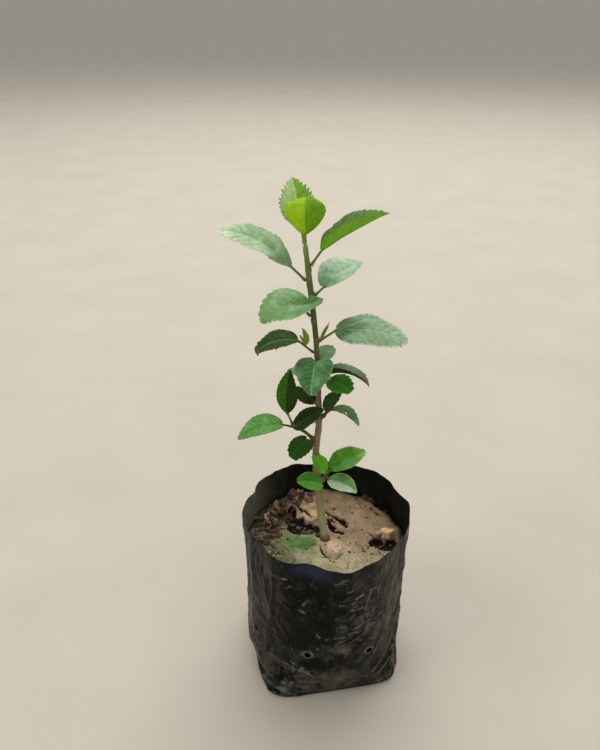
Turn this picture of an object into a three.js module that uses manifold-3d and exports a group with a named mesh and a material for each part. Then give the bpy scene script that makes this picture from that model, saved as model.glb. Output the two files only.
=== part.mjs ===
// A young hibiscus in a black film grow bag, as raised in a nursery: one upright stem about 240 mm tall
// above the soil, three short side shoots, and toothed heart-shaped leaves on long stalks.
// Millimetres, +Z up. The origin is the middle of the bag's flat underside. -Y is the side the plant is
// seen from, +X is to its right. Angles are in degrees: a turn of 0 points to +X and 90 away, to +Y.
import * as THREE from "three";
import { mergeVertices } from "three/addons/utils/BufferGeometryUtils.js";
import Module from "manifold-3d";

const wasm = await Module();
wasm.setup();

// Driving dimensions of the bag and its soil
const FLAT_WIDTH = 203; // width of the empty bag laid flat, the common 8 inch size
const MOUTH_RADIUS = FLAT_WIDTH / Math.PI;
const WALL_HEIGHT = 140; // from the ground to the open rim
const FILM = 1; // thickness of the solid wall, which stands for a film of about 0.1 mm
const BASE_HALF = 56; // half the side of the square footprint
const BASE_SHIFT = -1.2; // the footprint stands this far to the left of the mouth's middle
const BASE_TURN = 12.6; // how far the square footprint is turned
const BASE_SQUARENESS = 6; // exponent of the superellipse that the footprint follows
const EDGE_HEIGHT = 5; // height of the rounded edge round the underside
const EDGE_INSET = 2.5;
const BELLY_RADIUS = 62.5; // the round bulge of the full bag
const BELLY_HEIGHT = 32;
const MOUTH_FROM = 95; // above this the film follows the folds of the rim
const SOIL_HEIGHT = 112; // level of the soil at the stem
const SOIL_EDGE = 110; // level of the soil along the film
const CLEAR = 0.3; // gap between neighbouring solids
const SLIVER = 0.02; // detail finer than this is smoothed away where two shapes are joined
const AROUND = 36; // divisions round the bag

// Soft folds of the rim: direction, half width of the fold in degrees, and how far it stands out
const RIM_FOLDS = [
  { turn: 50, spread: 9, out: 3.3 },
  { turn: 9, spread: 9, out: 3 },
  { turn: -76, spread: 9, out: 2 },
  { turn: 117, spread: 7, out: 3 },
  { turn: 29, spread: 7, out: -1.5 },
  { turn: -35, spread: 18, out: -2.3 },
  { turn: -101, spread: 11, out: -5.5 },
  { turn: -143, spread: 13, out: -3.5 },
  { turn: 161, spread: 7, out: -3 },
  { turn: 101, spread: 6, out: -3.5 },
];

// Punched drain holes
const HOLE_COUNT = 8;
const HOLE_FIRST_TURN = -100;
const HOLE_HEIGHT = 48;
const HOLE_RADIUS = 1.5;
const HOLE_SIDES = 6;
const PUNCH_LENGTH = 8;

// Heights on the film and on the soil at which the solids have a row of corners
const WALL_ROWS = [2, 6, 14, 24, 38, 66, 96, SOIL_EDGE, 124];
const SOIL_RINGS = [0.92, 0.8, 0.62, 0.42, 0.22, 0.1]; // parts of the way from the middle to the film
const SOIL_PAD = 9; // radius of the level patch that the stem stands on
const SOIL_RELIEF = 0.9;

// Clods and stones that lie sunk in the soil: middle, half sizes and how far the middle lies below it
const CLODS = [
  { x: -20, y: 40, half: [14, 12, 7], sunk: 1.5 }, // the high clod behind, left
  { x: -18, y: 17, half: [9, 6, 4], sunk: 1 },
  { x: 7.5, y: -12.5, half: [8, 6, 3.5], sunk: 1 }, // the lump at the foot of the stem
  { x: 49, y: 1, half: [6, 3.5, 4], sunk: 0.5 }, // a stone
  { x: 18, y: 40, half: [13, 9, 3.5], sunk: 1 },
  { x: -44, y: 22, half: [7, 9, 3.5], sunk: 1 },
  { x: 24, y: -38, half: [8, 6, 2.8], sunk: 1 },
];

// The stem: bends of its middle line in the plane y = 0, and its radius at some heights
const STEM_BENDS = [
  [0, SOIL_HEIGHT],
  [-4.4, 146],
  [-7.6, 184],
  [-8, 198],
  [-6.2, 220],
  [-7.4, 255],
  [-9, 286],
  [-12.6, 319],
  [-16.6, 353],
];
const STEM_RADII = [
  { height: 112, radius: 3.25 },
  { height: 160, radius: 2.9 },
  { height: 200, radius: 2.45 },
  { height: 240, radius: 1.95 },
  { height: 335, radius: 1.9 },
  { height: 353, radius: 1.4 },
];
const FLARE_HEIGHT = 6;
const FLARE_OUT = 1.3; // how far the foot widens into the root collar
const STEM_SIDES = 10;
const STEM_STEPS = 18;
const STEM_SUNK = 4; // length of stem that is made below the soil and cut off again

// Side shoots: height of the foot on the stem, direction, length, radii, and how far the middle bows up
const SHOOTS = {
  shoot_left: { height: 205, turn: 190, rise: 38, length: 22, radii: [1.3, 0.95], bow: 1.6 },
  shoot_right: { height: 223, turn: -28, rise: 52, length: 15, radii: [1.2, 0.9], bow: 0.6 },
  shoot_base: { height: 163, turn: -20, rise: 64, length: 18, radii: [1.3, 1], bow: 0.4 },
};
const SHOOT_SIDES = 7;
const SHOOT_STEPS = 5;

// Leaves. A leaf springs from a limb, at a height on the stem or along a shoot (0 is its foot, 1 its
// tip). Its stalk has a direction and a length. The blade starts in its own direction and changes it
// on the way: droop bends it evenly, curl bends it near the tip, roll tips it about its midrib, twist
// adds to the roll towards the tip, and fold lifts both halves into a V.
// width is the widest spread, peak moves it towards the tip, blunt rounds the ends, and heart is how
// far the lobes at the foot reach back, as a part of the width.
const LEAVES = {
  leaf_top_back: {
    limb: "stem", at: 348, stalk: { turn: 115, rise: 59, length: 14.6 },
    blade: { turn: 130, rise: 74, roll: -36, fold: 12, droop: 5, length: 31, width: 20 },
  },
  leaf_top_front: {
    limb: "stem", at: 353, stalk: { turn: 270, rise: 74, length: 9 },
    blade: {
      turn: 268, rise: 72, fold: 25, droop: -60, curl: -60,
      length: 24, width: 23, peak: 1, blunt: 0.5,
    },
  },
  leaf_high_right: {
    limb: "stem", at: 336, stalk: { turn: -12, rise: 57, length: 17 },
    blade: { turn: 2, rise: 36, roll: -6, fold: 35, droop: 12, length: 46, width: 28, heart: 0.05 },
  },
  leaf_high_left: {
    limb: "stem", at: 325.6, stalk: { turn: 180, rise: 45, length: 18 },
    blade: {
      turn: 166, rise: 46, roll: -2, twist: -25, fold: 8, droop: 50,
      length: 54, width: 24, heart: 0.05,
    },
  },
  leaf_upper_right: {
    limb: "stem", at: 316, stalk: { turn: 20, rise: 40, length: 12 },
    blade: { turn: 45, rise: 24, roll: 6, fold: 25, droop: 20, length: 34, width: 26, heart: 0.1 },
  },
  leaf_upper_left: {
    limb: "stem", at: 300, stalk: { turn: 195, rise: 54, length: 15.5 },
    blade: {
      turn: 208, rise: 14, roll: -26, fold: 5, droop: 30, curl: 70,
      length: 31, width: 27, heart: 0.3, peak: 0.6,
    },
  },
  leaf_middle_right: {
    limb: "stem", at: 284, stalk: { turn: -12, rise: 40, length: 18 },
    blade: {
      turn: -8, rise: 12, roll: 15, droop: 32, curl: 10,
      length: 48, width: 30, blunt: 0.7, heart: 0.05,
    },
    buds: [
      { along: 0.16, turn: -20, rise: 66, length: 13, width: 4.5 },
      { along: 0.22, turn: 30, rise: 60, length: 9, width: 3.5 },
    ],
  },
  leaf_middle_left: {
    limb: "stem", at: 275, stalk: { turn: 190, rise: 42, length: 18 },
    blade: { turn: 186, rise: 12, roll: -8, fold: 8, droop: 62, length: 33, width: 21, heart: 0.05 },
    buds: [
      { along: 0.42, turn: 150, rise: 80, length: 12, width: 6.5 },
      { along: 0.5, turn: 190, rise: 70, length: 7, width: 4.5 },
    ],
  },
  leaf_small_behind: {
    limb: "stem", at: 266, stalk: { turn: 75, rise: 40, length: 8 },
    blade: { turn: 40, rise: 20, roll: 20, droop: 20, length: 13, width: 12, blunt: 0.6 },
  },
  leaf_heart_front: {
    limb: "stem", at: 268, stalk: { turn: 265, rise: 40, length: 8 },
    blade: {
      turn: 260, rise: -14, roll: 6, fold: 10, droop: 50, curl: 30,
      length: 25, width: 25, blunt: 0.55, heart: 0.15,
    },
  },
  leaf_arching_right: {
    limb: "stem", at: 256, stalk: { turn: -20, rise: 40, length: 10 },
    blade: { turn: -18, rise: 30, fold: 50, droop: 78, length: 32, width: 13, peak: 0.6 },
  },
  leaf_round_right: {
    limb: "stem", at: 253, stalk: { turn: -42, rise: 30, length: 14 },
    blade: { turn: -40, rise: 5, fold: 5, droop: 30, length: 17, width: 15, blunt: 0.6 },
  },
  leaf_hidden_back: {
    limb: "stem", at: 246, stalk: { turn: 88, rise: 12, length: 8 },
    blade: { turn: 84, rise: 2, fold: 10, droop: 30, length: 22, width: 16 },
  },
  leaf_back_left: {
    limb: "stem", at: 254, stalk: { turn: 145, rise: 24, length: 8 },
    blade: { turn: 152, rise: 8, roll: -6, fold: 8, droop: 24, length: 18, width: 12 },
  },
  leaf_shaded_left: {
    limb: "stem", at: 232, stalk: { turn: 120, rise: 20, length: 7 },
    blade: { turn: 160, rise: 26, roll: -20, fold: 5, droop: 10, length: 20, width: 12 },
  },
  leaf_low_back: {
    limb: "stem", at: 214, stalk: { turn: 100, rise: 25, length: 7 },
    blade: { turn: 112, rise: 8, fold: 8, droop: 24, length: 17, width: 13 },
  },
  leaf_low_dark: {
    limb: "stem", at: 201.5, stalk: { turn: 225, rise: 44, length: 12.4 },
    blade: { turn: 228, rise: -15, fold: 5, droop: 30, length: 18, width: 18, blunt: 0.5 },
  },
  leaf_upright_left: {
    limb: "shoot_left", at: 0.97, stalk: { turn: 166, rise: 68, length: 13 },
    blade: { turn: 240, rise: 78, roll: 20, fold: 20, droop: -40, length: 33, width: 16 },
    buds: [{ along: 0.3, turn: 200, rise: 60, length: 7, width: 4 }],
  },
  leaf_crossing_front: {
    limb: "shoot_left", at: 0.92, stalk: { turn: 275, rise: 45, length: 6 },
    blade: { turn: -10, rise: 44, roll: 30, fold: 5, droop: 10, length: 26, width: 16 },
  },
  leaf_far_left: {
    limb: "shoot_left", at: 1, stalk: { turn: 180, rise: 12, length: 9 },
    blade: { turn: 199, rise: 10, roll: -12, fold: 18, droop: 45, length: 33, width: 20 },
  },
  leaf_shoot_right_upper: {
    limb: "shoot_right", at: 0.8, stalk: { turn: 160, rise: 20, length: 4 },
    blade: { turn: -10, rise: 54, roll: 35, fold: 5, droop: 10, length: 18, width: 12 },
  },
  leaf_shoot_right_lower: {
    limb: "shoot_right", at: 1, stalk: { turn: -20, rise: 10, length: 2 },
    blade: { turn: -20, rise: 5, fold: 25, droop: 60, length: 22, width: 12 },
  },
  leaf_base_upper_left: {
    limb: "shoot_base", at: 1, stalk: { turn: 245, rise: 48, length: 6 },
    blade: { turn: 190, rise: 55, roll: -40, fold: 10, droop: 10, length: 17, width: 13 },
  },
  leaf_base_upper_right: {
    limb: "shoot_base", at: 1, stalk: { turn: 10, rise: 40, length: 4 },
    blade: { turn: 33, rise: 18, roll: 15, fold: 25, droop: 16, length: 30, width: 20 },
  },
  leaf_base_lower_left: {
    limb: "shoot_base", at: 0.3, stalk: { turn: 254, rise: 10, length: 9 },
    blade: { turn: 198, rise: 25, roll: -20, fold: 5, droop: 20, length: 19, width: 16, blunt: 0.6 },
  },
  leaf_base_lower_right: {
    limb: "shoot_base", at: 0.4, stalk: { turn: -48, rise: 10, length: 6 },
    blade: { turn: -28, rise: 14, roll: 12, fold: 5, droop: 45, length: 23, width: 16 },
  },
};
const BLADE_THICK = 0.56; // over a hundredth of the longest blade
const BLADE_TIP = 0.45; // half width that is left at the foot and the tip of a blade
const BLADE_STEPS = 10;
const BUD_STEPS = 4;
const TOOTH = 0.05; // how far the margin swings in and out, as a part of the half width
const TOOTH_FROM = 3; // first step of the blade that has teeth
const STALK_RADII = [0.9, 0.7];
const STALK_SIDES = 5;
const STALK_STEPS = 4;
const STALK_INTO_BLADE = 2.5; // how far the stalk runs on under the blade as its midrib
const STALK_LEAST = 1; // shortest stalk between a limb's bark and the blade
const STALK_KNEE = 0.55; // place of the middle point of a stalk's curve
const BUD_FOLD = 35;

const PLACE_STEP = 1e-7; // how exactly a place along the stem is found
const AT_TIP = 0.999; // from this place on, a branch may start past the limb's tip
const TIP_LEAN = 0.2; // and only if it leans this much along the limb

const degrees = THREE.MathUtils.degToRad;
const clamp = THREE.MathUtils.clamp;
const lerp = THREE.MathUtils.lerp;
const smooth = THREE.MathUtils.smoothstep;

// Unit vector of a turn about +Z and a rise above the horizontal
function heading(turn, rise) {
  const level = Math.cos(degrees(rise));
  return new THREE.Vector3(
    level * Math.cos(degrees(turn)),
    level * Math.sin(degrees(turn)),
    Math.sin(degrees(rise)),
  );
}

// Value of key at a place between the entries of a sorted list
function along(list, place, from, key) {
  const next = list.findIndex((entry) => entry[from] >= place);
  if (next <= 0) return list[next < 0 ? list.length - 1 : 0][key];
  const low = list[next - 1];
  const high = list[next];
  return lerp(low[key], high[key], (place - low[from]) / (high[from] - low[from]));
}

// Closed surface through rings of equally many points, capped by a fan at both ends. The rings run
// counterclockwise when looked at from the last ring's side.
function ringSolid(rings) {
  const count = rings[0].length;
  const corners = rings.flat();
  const faces = [];
  for (let r = 0; r + 1 < rings.length; r++) {
    for (let i = 0; i < count; i++) {
      const a = r * count + i;
      const b = r * count + ((i + 1) % count);
      faces.push(a, b, b + count, a, b + count, a + count);
    }
  }
  for (const [ring, isLast] of [[0, false], [rings.length - 1, true]]) {
    const middle = corners.length;
    const sum = rings[ring].reduce((total, point) => total.add(point), new THREE.Vector3());
    corners.push(sum.divideScalar(count));
    for (let i = 0; i < count; i++) {
      const a = ring * count + i;
      const b = ring * count + ((i + 1) % count);
      faces.push(...(isLast ? [a, b, middle] : [b, a, middle]));
    }
  }
  const geometry = new THREE.BufferGeometry().setFromPoints(corners);
  geometry.setIndex(faces);
  return geometry;
}

// Round limb along a curve, with the radius as a function of the place from 0 to 1
function limbGeometry(curve, steps, sides, radiusAt) {
  const frames = curve.computeFrenetFrames(steps, false);
  const rings = [];
  for (let s = 0; s <= steps; s++) {
    const middle = curve.getPointAt(s / steps);
    const radius = radiusAt(s / steps);
    const ring = [];
    for (let i = 0; i < sides; i++) {
      const angle = (2 * Math.PI * i) / sides;
      const point = middle.clone();
      point.addScaledVector(frames.normals[s], radius * Math.cos(angle));
      point.addScaledVector(frames.binormals[s], radius * Math.sin(angle));
      ring.push(point);
    }
    rings.push(ring);
  }
  return ringSolid(rings);
}

// A closed geometry as a solid that can be joined and cut
function solidOf(geometry) {
  const bare = geometry.clone();
  bare.deleteAttribute("normal");
  bare.deleteAttribute("uv");
  const merged = mergeVertices(bare, 1e-4);
  return new wasm.Manifold(
    new wasm.Mesh({
      numProp: 3,
      vertProperties: new Float32Array(merged.attributes.position.array),
      triVerts: new Uint32Array(merged.index.array),
    }),
  );
}

// A solid as a geometry, without the slivers that joining leaves
function geometryOf(solid) {
  const mesh = solid.simplify(SLIVER).getMesh();
  const geometry = new THREE.BufferGeometry();
  geometry.setAttribute("position", new THREE.BufferAttribute(new Float32Array(mesh.vertProperties), 3));
  geometry.setIndex(new THREE.BufferAttribute(new Uint32Array(mesh.triVerts), 1));
  geometry.computeVertexNormals();
  return geometry;
}

// Film bag

function rimFold(turn) {
  let out = 0;
  for (const fold of RIM_FOLDS) {
    const away = THREE.MathUtils.euclideanModulo(turn - fold.turn + 180, 360) - 180;
    out += fold.out * Math.exp(-((away / fold.spread) ** 2));
  }
  return out;
}

// Outer radius of the filled bag: a rounded square at the ground, round in the middle, folded at the rim
function bagRadius(turn, height) {
  const angle = degrees(turn - BASE_TURN);
  const spread = Math.abs(Math.cos(angle)) ** BASE_SQUARENESS + Math.abs(Math.sin(angle)) ** BASE_SQUARENESS;
  const square = BASE_HALF / spread ** (1 / BASE_SQUARENESS);
  const body = lerp(square, BELLY_RADIUS, smooth(height, 0, BELLY_HEIGHT));
  const edge = clamp(1 - height / EDGE_HEIGHT, 0, 1);
  const inset = EDGE_INSET * (1 - Math.sqrt(1 - edge * edge));
  const mouth = smooth(height, MOUTH_FROM, WALL_HEIGHT);
  return body - inset + mouth * (MOUTH_RADIUS - 1 - BELLY_RADIUS + rimFold(turn));
}

function bagRing(height, inset) {
  const ring = [];
  for (let i = 0; i < AROUND; i++) {
    const turn = (360 * i) / AROUND;
    const point = heading(turn, 0).multiplyScalar(bagRadius(turn, height) - inset);
    point.x += BASE_SHIFT * (1 - smooth(height, 0, BELLY_HEIGHT));
    ring.push(point.setZ(height));
  }
  return ring;
}

function growBagGeometry() {
  const outside = [0, ...WALL_ROWS, WALL_HEIGHT].map((height) => bagRing(height, 0));
  const inside = [FILM, ...WALL_ROWS, WALL_HEIGHT + FILM].map((height) => bagRing(height, FILM));
  let bag = solidOf(ringSolid(outside)).subtract(solidOf(ringSolid(inside)));
  for (let i = 0; i < HOLE_COUNT; i++) {
    const turn = HOLE_FIRST_TURN + (360 * i) / HOLE_COUNT;
    const punch = new THREE.CylinderGeometry(HOLE_RADIUS, HOLE_RADIUS, PUNCH_LENGTH, HOLE_SIDES);
    punch.rotateZ(Math.PI / 2);
    punch.translate(bagRadius(turn, HOLE_HEIGHT), 0, HOLE_HEIGHT);
    punch.rotateZ(degrees(turn));
    bag = bag.subtract(solidOf(punch));
  }
  return geometryOf(bag);
}

// Soil, which fills the bag to some 30 mm below the rim

function soilTop(x, y) {
  const wave = Math.sin(0.13 * x + 1.3) * Math.cos(0.11 * y - 0.4) + 0.5 * Math.sin(0.31 * x - 0.27 * y);
  const off = smooth(Math.hypot(x, y), SOIL_PAD, 2 * SOIL_PAD);
  return SOIL_HEIGHT + SOIL_RELIEF * wave * off;
}

function soilGeometry() {
  const floor = FILM + CLEAR;
  const sides = WALL_ROWS.filter((height) => height > floor && height <= SOIL_EDGE);
  const rings = [floor, ...sides].map((height) => bagRing(height, FILM + CLEAR));
  const brim = rings.at(-1);
  for (const part of SOIL_RINGS) {
    const ring = brim.map((point) => point.clone().multiplyScalar(part));
    ring.forEach((point) => point.setZ(soilTop(point.x, point.y)));
    rings.push(ring);
  }
  let soil = solidOf(ringSolid(rings));
  for (const clod of CLODS) {
    const lump = new THREE.IcosahedronGeometry(1, 1);
    lump.scale(...clod.half);
    lump.translate(clod.x, clod.y, soilTop(clod.x, clod.y) - clod.sunk);
    soil = soil.add(solidOf(lump));
  }
  return geometryOf(soil);
}

// Stem and side shoots

const stemCurve = new THREE.CatmullRomCurve3(STEM_BENDS.map(([x, z]) => new THREE.Vector3(x, 0, z)));

function stemRadius(height) {
  const flare = clamp(1 - (height - SOIL_HEIGHT) / FLARE_HEIGHT, 0, 1);
  return along(STEM_RADII, height, "height", "radius") + FLARE_OUT * flare * flare;
}

// Place from 0 to 1 on the stem whose middle lies at a height, found by halving
function stemPlace(height) {
  let low = 0;
  let high = 1;
  while (high - low > PLACE_STEP) {
    const middle = (low + high) / 2;
    const isBelow = stemCurve.getPointAt(middle).z < height;
    low = isBelow ? middle : low;
    high = isBelow ? high : middle;
  }
  return (low + high) / 2;
}

// The stem is cut flat where it meets the soil
function stemGeometry() {
  const first = stemCurve.getTangentAt(0).multiplyScalar(-STEM_SUNK).add(stemCurve.getPointAt(0));
  const sunk = new THREE.CatmullRomCurve3([first, ...stemCurve.points]);
  const whole = limbGeometry(sunk, STEM_STEPS, STEM_SIDES, (part) => stemRadius(sunk.getPointAt(part).z));
  const ground = new THREE.BoxGeometry(MOUTH_RADIUS, MOUTH_RADIUS, 4 * STEM_SUNK);
  ground.translate(0, 0, SOIL_HEIGHT + CLEAR - 2 * STEM_SUNK);
  return geometryOf(solidOf(whole).subtract(solidOf(ground)));
}

// Each limb that carries leaves: its curve, its radius along it, and the place for an entry's "at"
const limbs = {
  stem: {
    curve: stemCurve,
    radiusAt: (part) => stemRadius(stemCurve.getPointAt(part).z),
    placeOf: stemPlace,
  },
};

// First point of a branch whose end cap stays clear of its parent limb
function branchStart(limb, place, direction, radius) {
  const foot = limb.curve.getPointAt(place);
  const lean = direction.dot(limb.curve.getTangentAt(place));
  const across = Math.sqrt(1 - lean * lean);
  const pastSide = (limb.radiusAt(place) + CLEAR + radius * Math.abs(lean)) / across;
  const pastTip = place > AT_TIP && lean > TIP_LEAN ? (CLEAR + radius * across) / lean : pastSide;
  return foot.addScaledVector(direction, Math.min(pastSide, pastTip));
}

function shootCurve(shoot) {
  const direction = heading(shoot.turn, shoot.rise);
  const foot = stemCurve.getPointAt(stemPlace(shoot.height));
  const start = branchStart(limbs.stem, stemPlace(shoot.height), direction, shoot.radii[0]);
  const tip = foot.addScaledVector(direction, shoot.length);
  const middle = start.clone().lerp(tip, 0.5);
  middle.z += shoot.bow;
  return new THREE.CatmullRomCurve3([start, middle, tip]);
}

for (const [name, shoot] of Object.entries(SHOOTS)) {
  limbs[name] = {
    curve: shootCurve(shoot),
    radiusAt: (part) => lerp(shoot.radii[0], shoot.radii[1], part),
    placeOf: (part) => part,
  };
}

// Leaves

// The blade as a thin folded plate. Rows run from the stalk to the tip, three corners across each face.
function bladeGeometry(foot, blade, steps) {
  const { turn, rise, length, width } = blade;
  const { roll = 0, twist = 0, fold = 0, droop = 0, curl = 0 } = blade;
  const { peak = 0.72, blunt = 0.8, heart = 0.12 } = blade;
  const across = [-1, 0, 1];
  const spot = foot.clone();
  const rings = [];
  for (let s = 0; s <= steps; s++) {
    const t = s / steps;
    const tangent = heading(turn, rise - droop * t - curl * t ** 3);
    const level = new THREE.Vector3(-Math.sin(degrees(turn)), Math.cos(degrees(turn)), 0);
    const up = tangent.clone().cross(level);
    const tip = degrees(roll + twist * t);
    const side = level.clone().multiplyScalar(Math.cos(tip)).addScaledVector(up, Math.sin(tip));
    const normal = tangent.clone().cross(side);
    const toothed = steps === BLADE_STEPS && s >= TOOTH_FROM && s < steps;
    const swing = toothed ? 1 + TOOTH * (s % 2 ? 1 : -1) : 1;
    const bulge = Math.max(0, Math.sin(Math.PI * t ** peak)) ** blunt;
    const half = Math.max(BLADE_TIP, (width / 2) * bulge * swing);
    const top = [];
    const under = [];
    for (const u of across) {
      const point = spot.clone();
      point.addScaledVector(side, half * u * Math.cos(degrees(fold)));
      point.addScaledVector(normal, half * Math.abs(u) * Math.sin(degrees(fold)));
      point.addScaledVector(tangent, -heart * width * Math.abs(u) * (1 - t) ** 3 * (s ? 1 : 0));
      top.push(point.clone().addScaledVector(normal, BLADE_THICK / 2));
      under.push(point.clone().addScaledVector(normal, -BLADE_THICK / 2));
    }
    rings.push([...under, ...top.toReversed()]);
    const next = heading(turn, rise - droop * (t + 0.5 / steps) - curl * (t + 0.5 / steps) ** 3);
    spot.addScaledVector(next, length / steps);
  }
  return ringSolid(rings);
}

// Stalk and blade in one piece, with the small leaves of the bud in the stalk's angle
function leafGeometry(leaf) {
  const limb = limbs[leaf.limb];
  const place = limb.placeOf(leaf.at);
  const direction = heading(leaf.stalk.turn, leaf.stalk.rise);
  const start = branchStart(limb, place, direction, STALK_RADII[0]);
  const foot = limb.curve.getPointAt(place).addScaledVector(direction, leaf.stalk.length);
  if (foot.clone().sub(start).dot(direction) < STALK_LEAST) {
    foot.copy(start).addScaledVector(direction, STALK_LEAST);
  }
  const blade = leaf.blade;
  const onward = heading(blade.turn, blade.rise);
  const under = foot.clone().addScaledVector(onward, STALK_INTO_BLADE);
  const knee = start.clone().lerp(foot, STALK_KNEE);
  const stalk = new THREE.CatmullRomCurve3([start, knee, foot, under]);
  const stalkRadius = (part) => lerp(STALK_RADII[0], STALK_RADII[1], part);
  let solid = solidOf(bladeGeometry(foot, blade, BLADE_STEPS));
  solid = solid.add(solidOf(limbGeometry(stalk, STALK_STEPS, STALK_SIDES, stalkRadius)));
  for (const bud of leaf.buds ?? []) {
    const root = stalk.getPointAt(bud.along);
    solid = solid.add(solidOf(bladeGeometry(root, { ...bud, fold: BUD_FOLD, heart: 0 }, BUD_STEPS)));
  }
  return geometryOf(solid);
}

// The whole plant

const plant = new THREE.Group();

function addMesh(name, geometry, color, roughness) {
  const material = new THREE.MeshStandardMaterial({ color, roughness, metalness: 0 });
  const mesh = new THREE.Mesh(geometry, material);
  mesh.name = name;
  plant.add(mesh);
}

addMesh("grow_bag", growBagGeometry(), 0x151518, 0.45);
addMesh("soil", soilGeometry(), 0x8d7761, 0.95);
addMesh("stem", stemGeometry(), 0x5b4a35, 0.75);
for (const [name, shoot] of Object.entries(SHOOTS)) {
  const radiusAt = (part) => lerp(shoot.radii[0], shoot.radii[1], part);
  addMesh(name, limbGeometry(limbs[name].curve, SHOOT_STEPS, SHOOT_SIDES, radiusAt), 0x4a4a2a, 0.7);
}
for (const [name, leaf] of Object.entries(LEAVES)) {
  addMesh(name, leafGeometry(leaf), 0x4f8a3c, 0.5);
}

export default plant;
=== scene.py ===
# A young hibiscus raised in a black film grow bag: one thin stem with three short side shoots, toothed
# leaves on long stalks, and dry silty soil that fills the bag to two fingers below its folded rim.
# Sizes are in millimetres and angles in degrees until a mesh is made, and the scene is in metres.
import math
from itertools import product

import bmesh
import bpy
import numpy as np
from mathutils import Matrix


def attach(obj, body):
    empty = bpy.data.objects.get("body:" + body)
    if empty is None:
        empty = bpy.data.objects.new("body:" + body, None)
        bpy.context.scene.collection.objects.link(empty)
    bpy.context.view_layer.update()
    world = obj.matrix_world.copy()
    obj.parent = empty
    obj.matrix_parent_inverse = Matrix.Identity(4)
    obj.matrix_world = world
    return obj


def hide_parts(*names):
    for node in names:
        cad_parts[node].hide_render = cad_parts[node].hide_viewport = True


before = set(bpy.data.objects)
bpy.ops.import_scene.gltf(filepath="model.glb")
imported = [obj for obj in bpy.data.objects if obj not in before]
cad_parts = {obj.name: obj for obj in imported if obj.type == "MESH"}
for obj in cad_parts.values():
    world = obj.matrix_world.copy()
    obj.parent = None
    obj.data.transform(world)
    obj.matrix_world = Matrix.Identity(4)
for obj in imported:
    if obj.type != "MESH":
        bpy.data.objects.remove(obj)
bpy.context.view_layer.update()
scene = bpy.context.scene

# Studio. The camera looks down on the bag's front as someone standing before it does.
# A wide pale floor, a pale sky and soft lamps from above light it.
CAMERA_AT, CAMERA_TILT, CAMERA_PAN = (0, -0.418, 0.495), 60.6, 2.7
camera = bpy.data.objects.new("camera", bpy.data.cameras.new("camera"))
camera.location = CAMERA_AT
camera.rotation_euler = (math.radians(CAMERA_TILT), 0, math.radians(CAMERA_PAN))
camera.data.sensor_width = 36
camera.data.lens = 33.6
camera.data.clip_start = 0.01
scene.collection.objects.link(camera)
scene.camera = camera
scene.view_settings.view_transform = "Standard"


def paint(red, green, blue):
    """A colour of 0 to 255 as the linear colour that shaders take."""
    parts = [c / 12.92 if c <= 0.04045 else ((c + 0.055) / 1.055) ** 2.4
             for c in (red / 255, green / 255, blue / 255)]
    return (*parts, 1)


def add(tree, kind, inputs=None, **settings):
    """A shader node with its settings, and for each input a value or another node's output."""
    node = tree.nodes.new("ShaderNode" + kind)
    for name, value in settings.items():
        setattr(node, name, value)
    for name, value in (inputs or {}).items():
        if isinstance(value, bpy.types.NodeSocket):
            tree.links.new(value, node.inputs[name])
        else:
            node.inputs[name].default_value = value
    return node


def mix(tree, share, first, second, how="MIX"):
    """The first colour with a share of the second laid over it."""
    node = add(tree, "Mix", {0: share, 6: first, 7: second}, data_type="RGBA", blend_type=how)
    return node.outputs[2]


def spread(tree, value, low, high, to_low=0.0, to_high=1.0):
    """A value between low and high, carried over to the range from to_low to to_high."""
    node = add(tree, "MapRange", {0: value, 1: low, 2: high, 3: to_low, 4: to_high})
    return node.outputs[0]


def blotched(tree, colour, other, clouds, low, high, most=1.0):
    """A colour with another over it where a noise is high."""
    return mix(tree, spread(tree, clouds, low, high, 0, most), colour, other)


def noise(tree, place, scale, detail=3.0, rough=0.5):
    inputs = {"Vector": place, "Scale": scale, "Detail": detail, "Roughness": rough}
    return add(tree, "TexNoise", inputs).outputs[0]


def finish_of(name, **plain):
    """A new material, its node tree and its shader with plain values on the shader's own sockets."""
    material = bpy.data.materials.new(name)
    material.use_nodes = True
    tree = material.node_tree
    shader = tree.nodes["Principled BSDF"]
    for socket, value in plain.items():
        shader.inputs[socket.replace("_", " ")].default_value = value
    return material, tree, shader


FLOOR_HALF = 40
FLOOR_COLOUR, FLOOR_STAIN = paint(206, 196, 178), paint(200, 189, 170)
floor_mesh = bpy.data.meshes.new("floor")
corners = [(x * FLOOR_HALF, y * FLOOR_HALF, 0) for x, y in ((-1, -1), (1, -1), (1, 1), (-1, 1))]
floor_mesh.from_pydata(corners, [], [(0, 1, 2, 3)])
floor = bpy.data.objects.new("floor", floor_mesh)
scene.collection.objects.link(floor)
floor_finish, tree, shader = finish_of("floor_paint", Roughness=0.85)
place = add(tree, "TexCoord").outputs["Object"]
colour = blotched(tree, FLOOR_COLOUR, FLOOR_STAIN, noise(tree, place, 9, 6), 0.3, 0.7)
tree.links.new(colour, shader.inputs["Base Color"])
floor_mesh.materials.append(floor_finish)

SKY_COLOUR, SKY_STRENGTH = (0.94, 0.97, 1.0, 1), 0.5
world = bpy.data.worlds.new("studio")
world.use_nodes = True
background = world.node_tree.nodes["Background"]
background.inputs["Color"].default_value = SKY_COLOUR
background.inputs["Strength"].default_value = SKY_STRENGTH
scene.world = world

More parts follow.
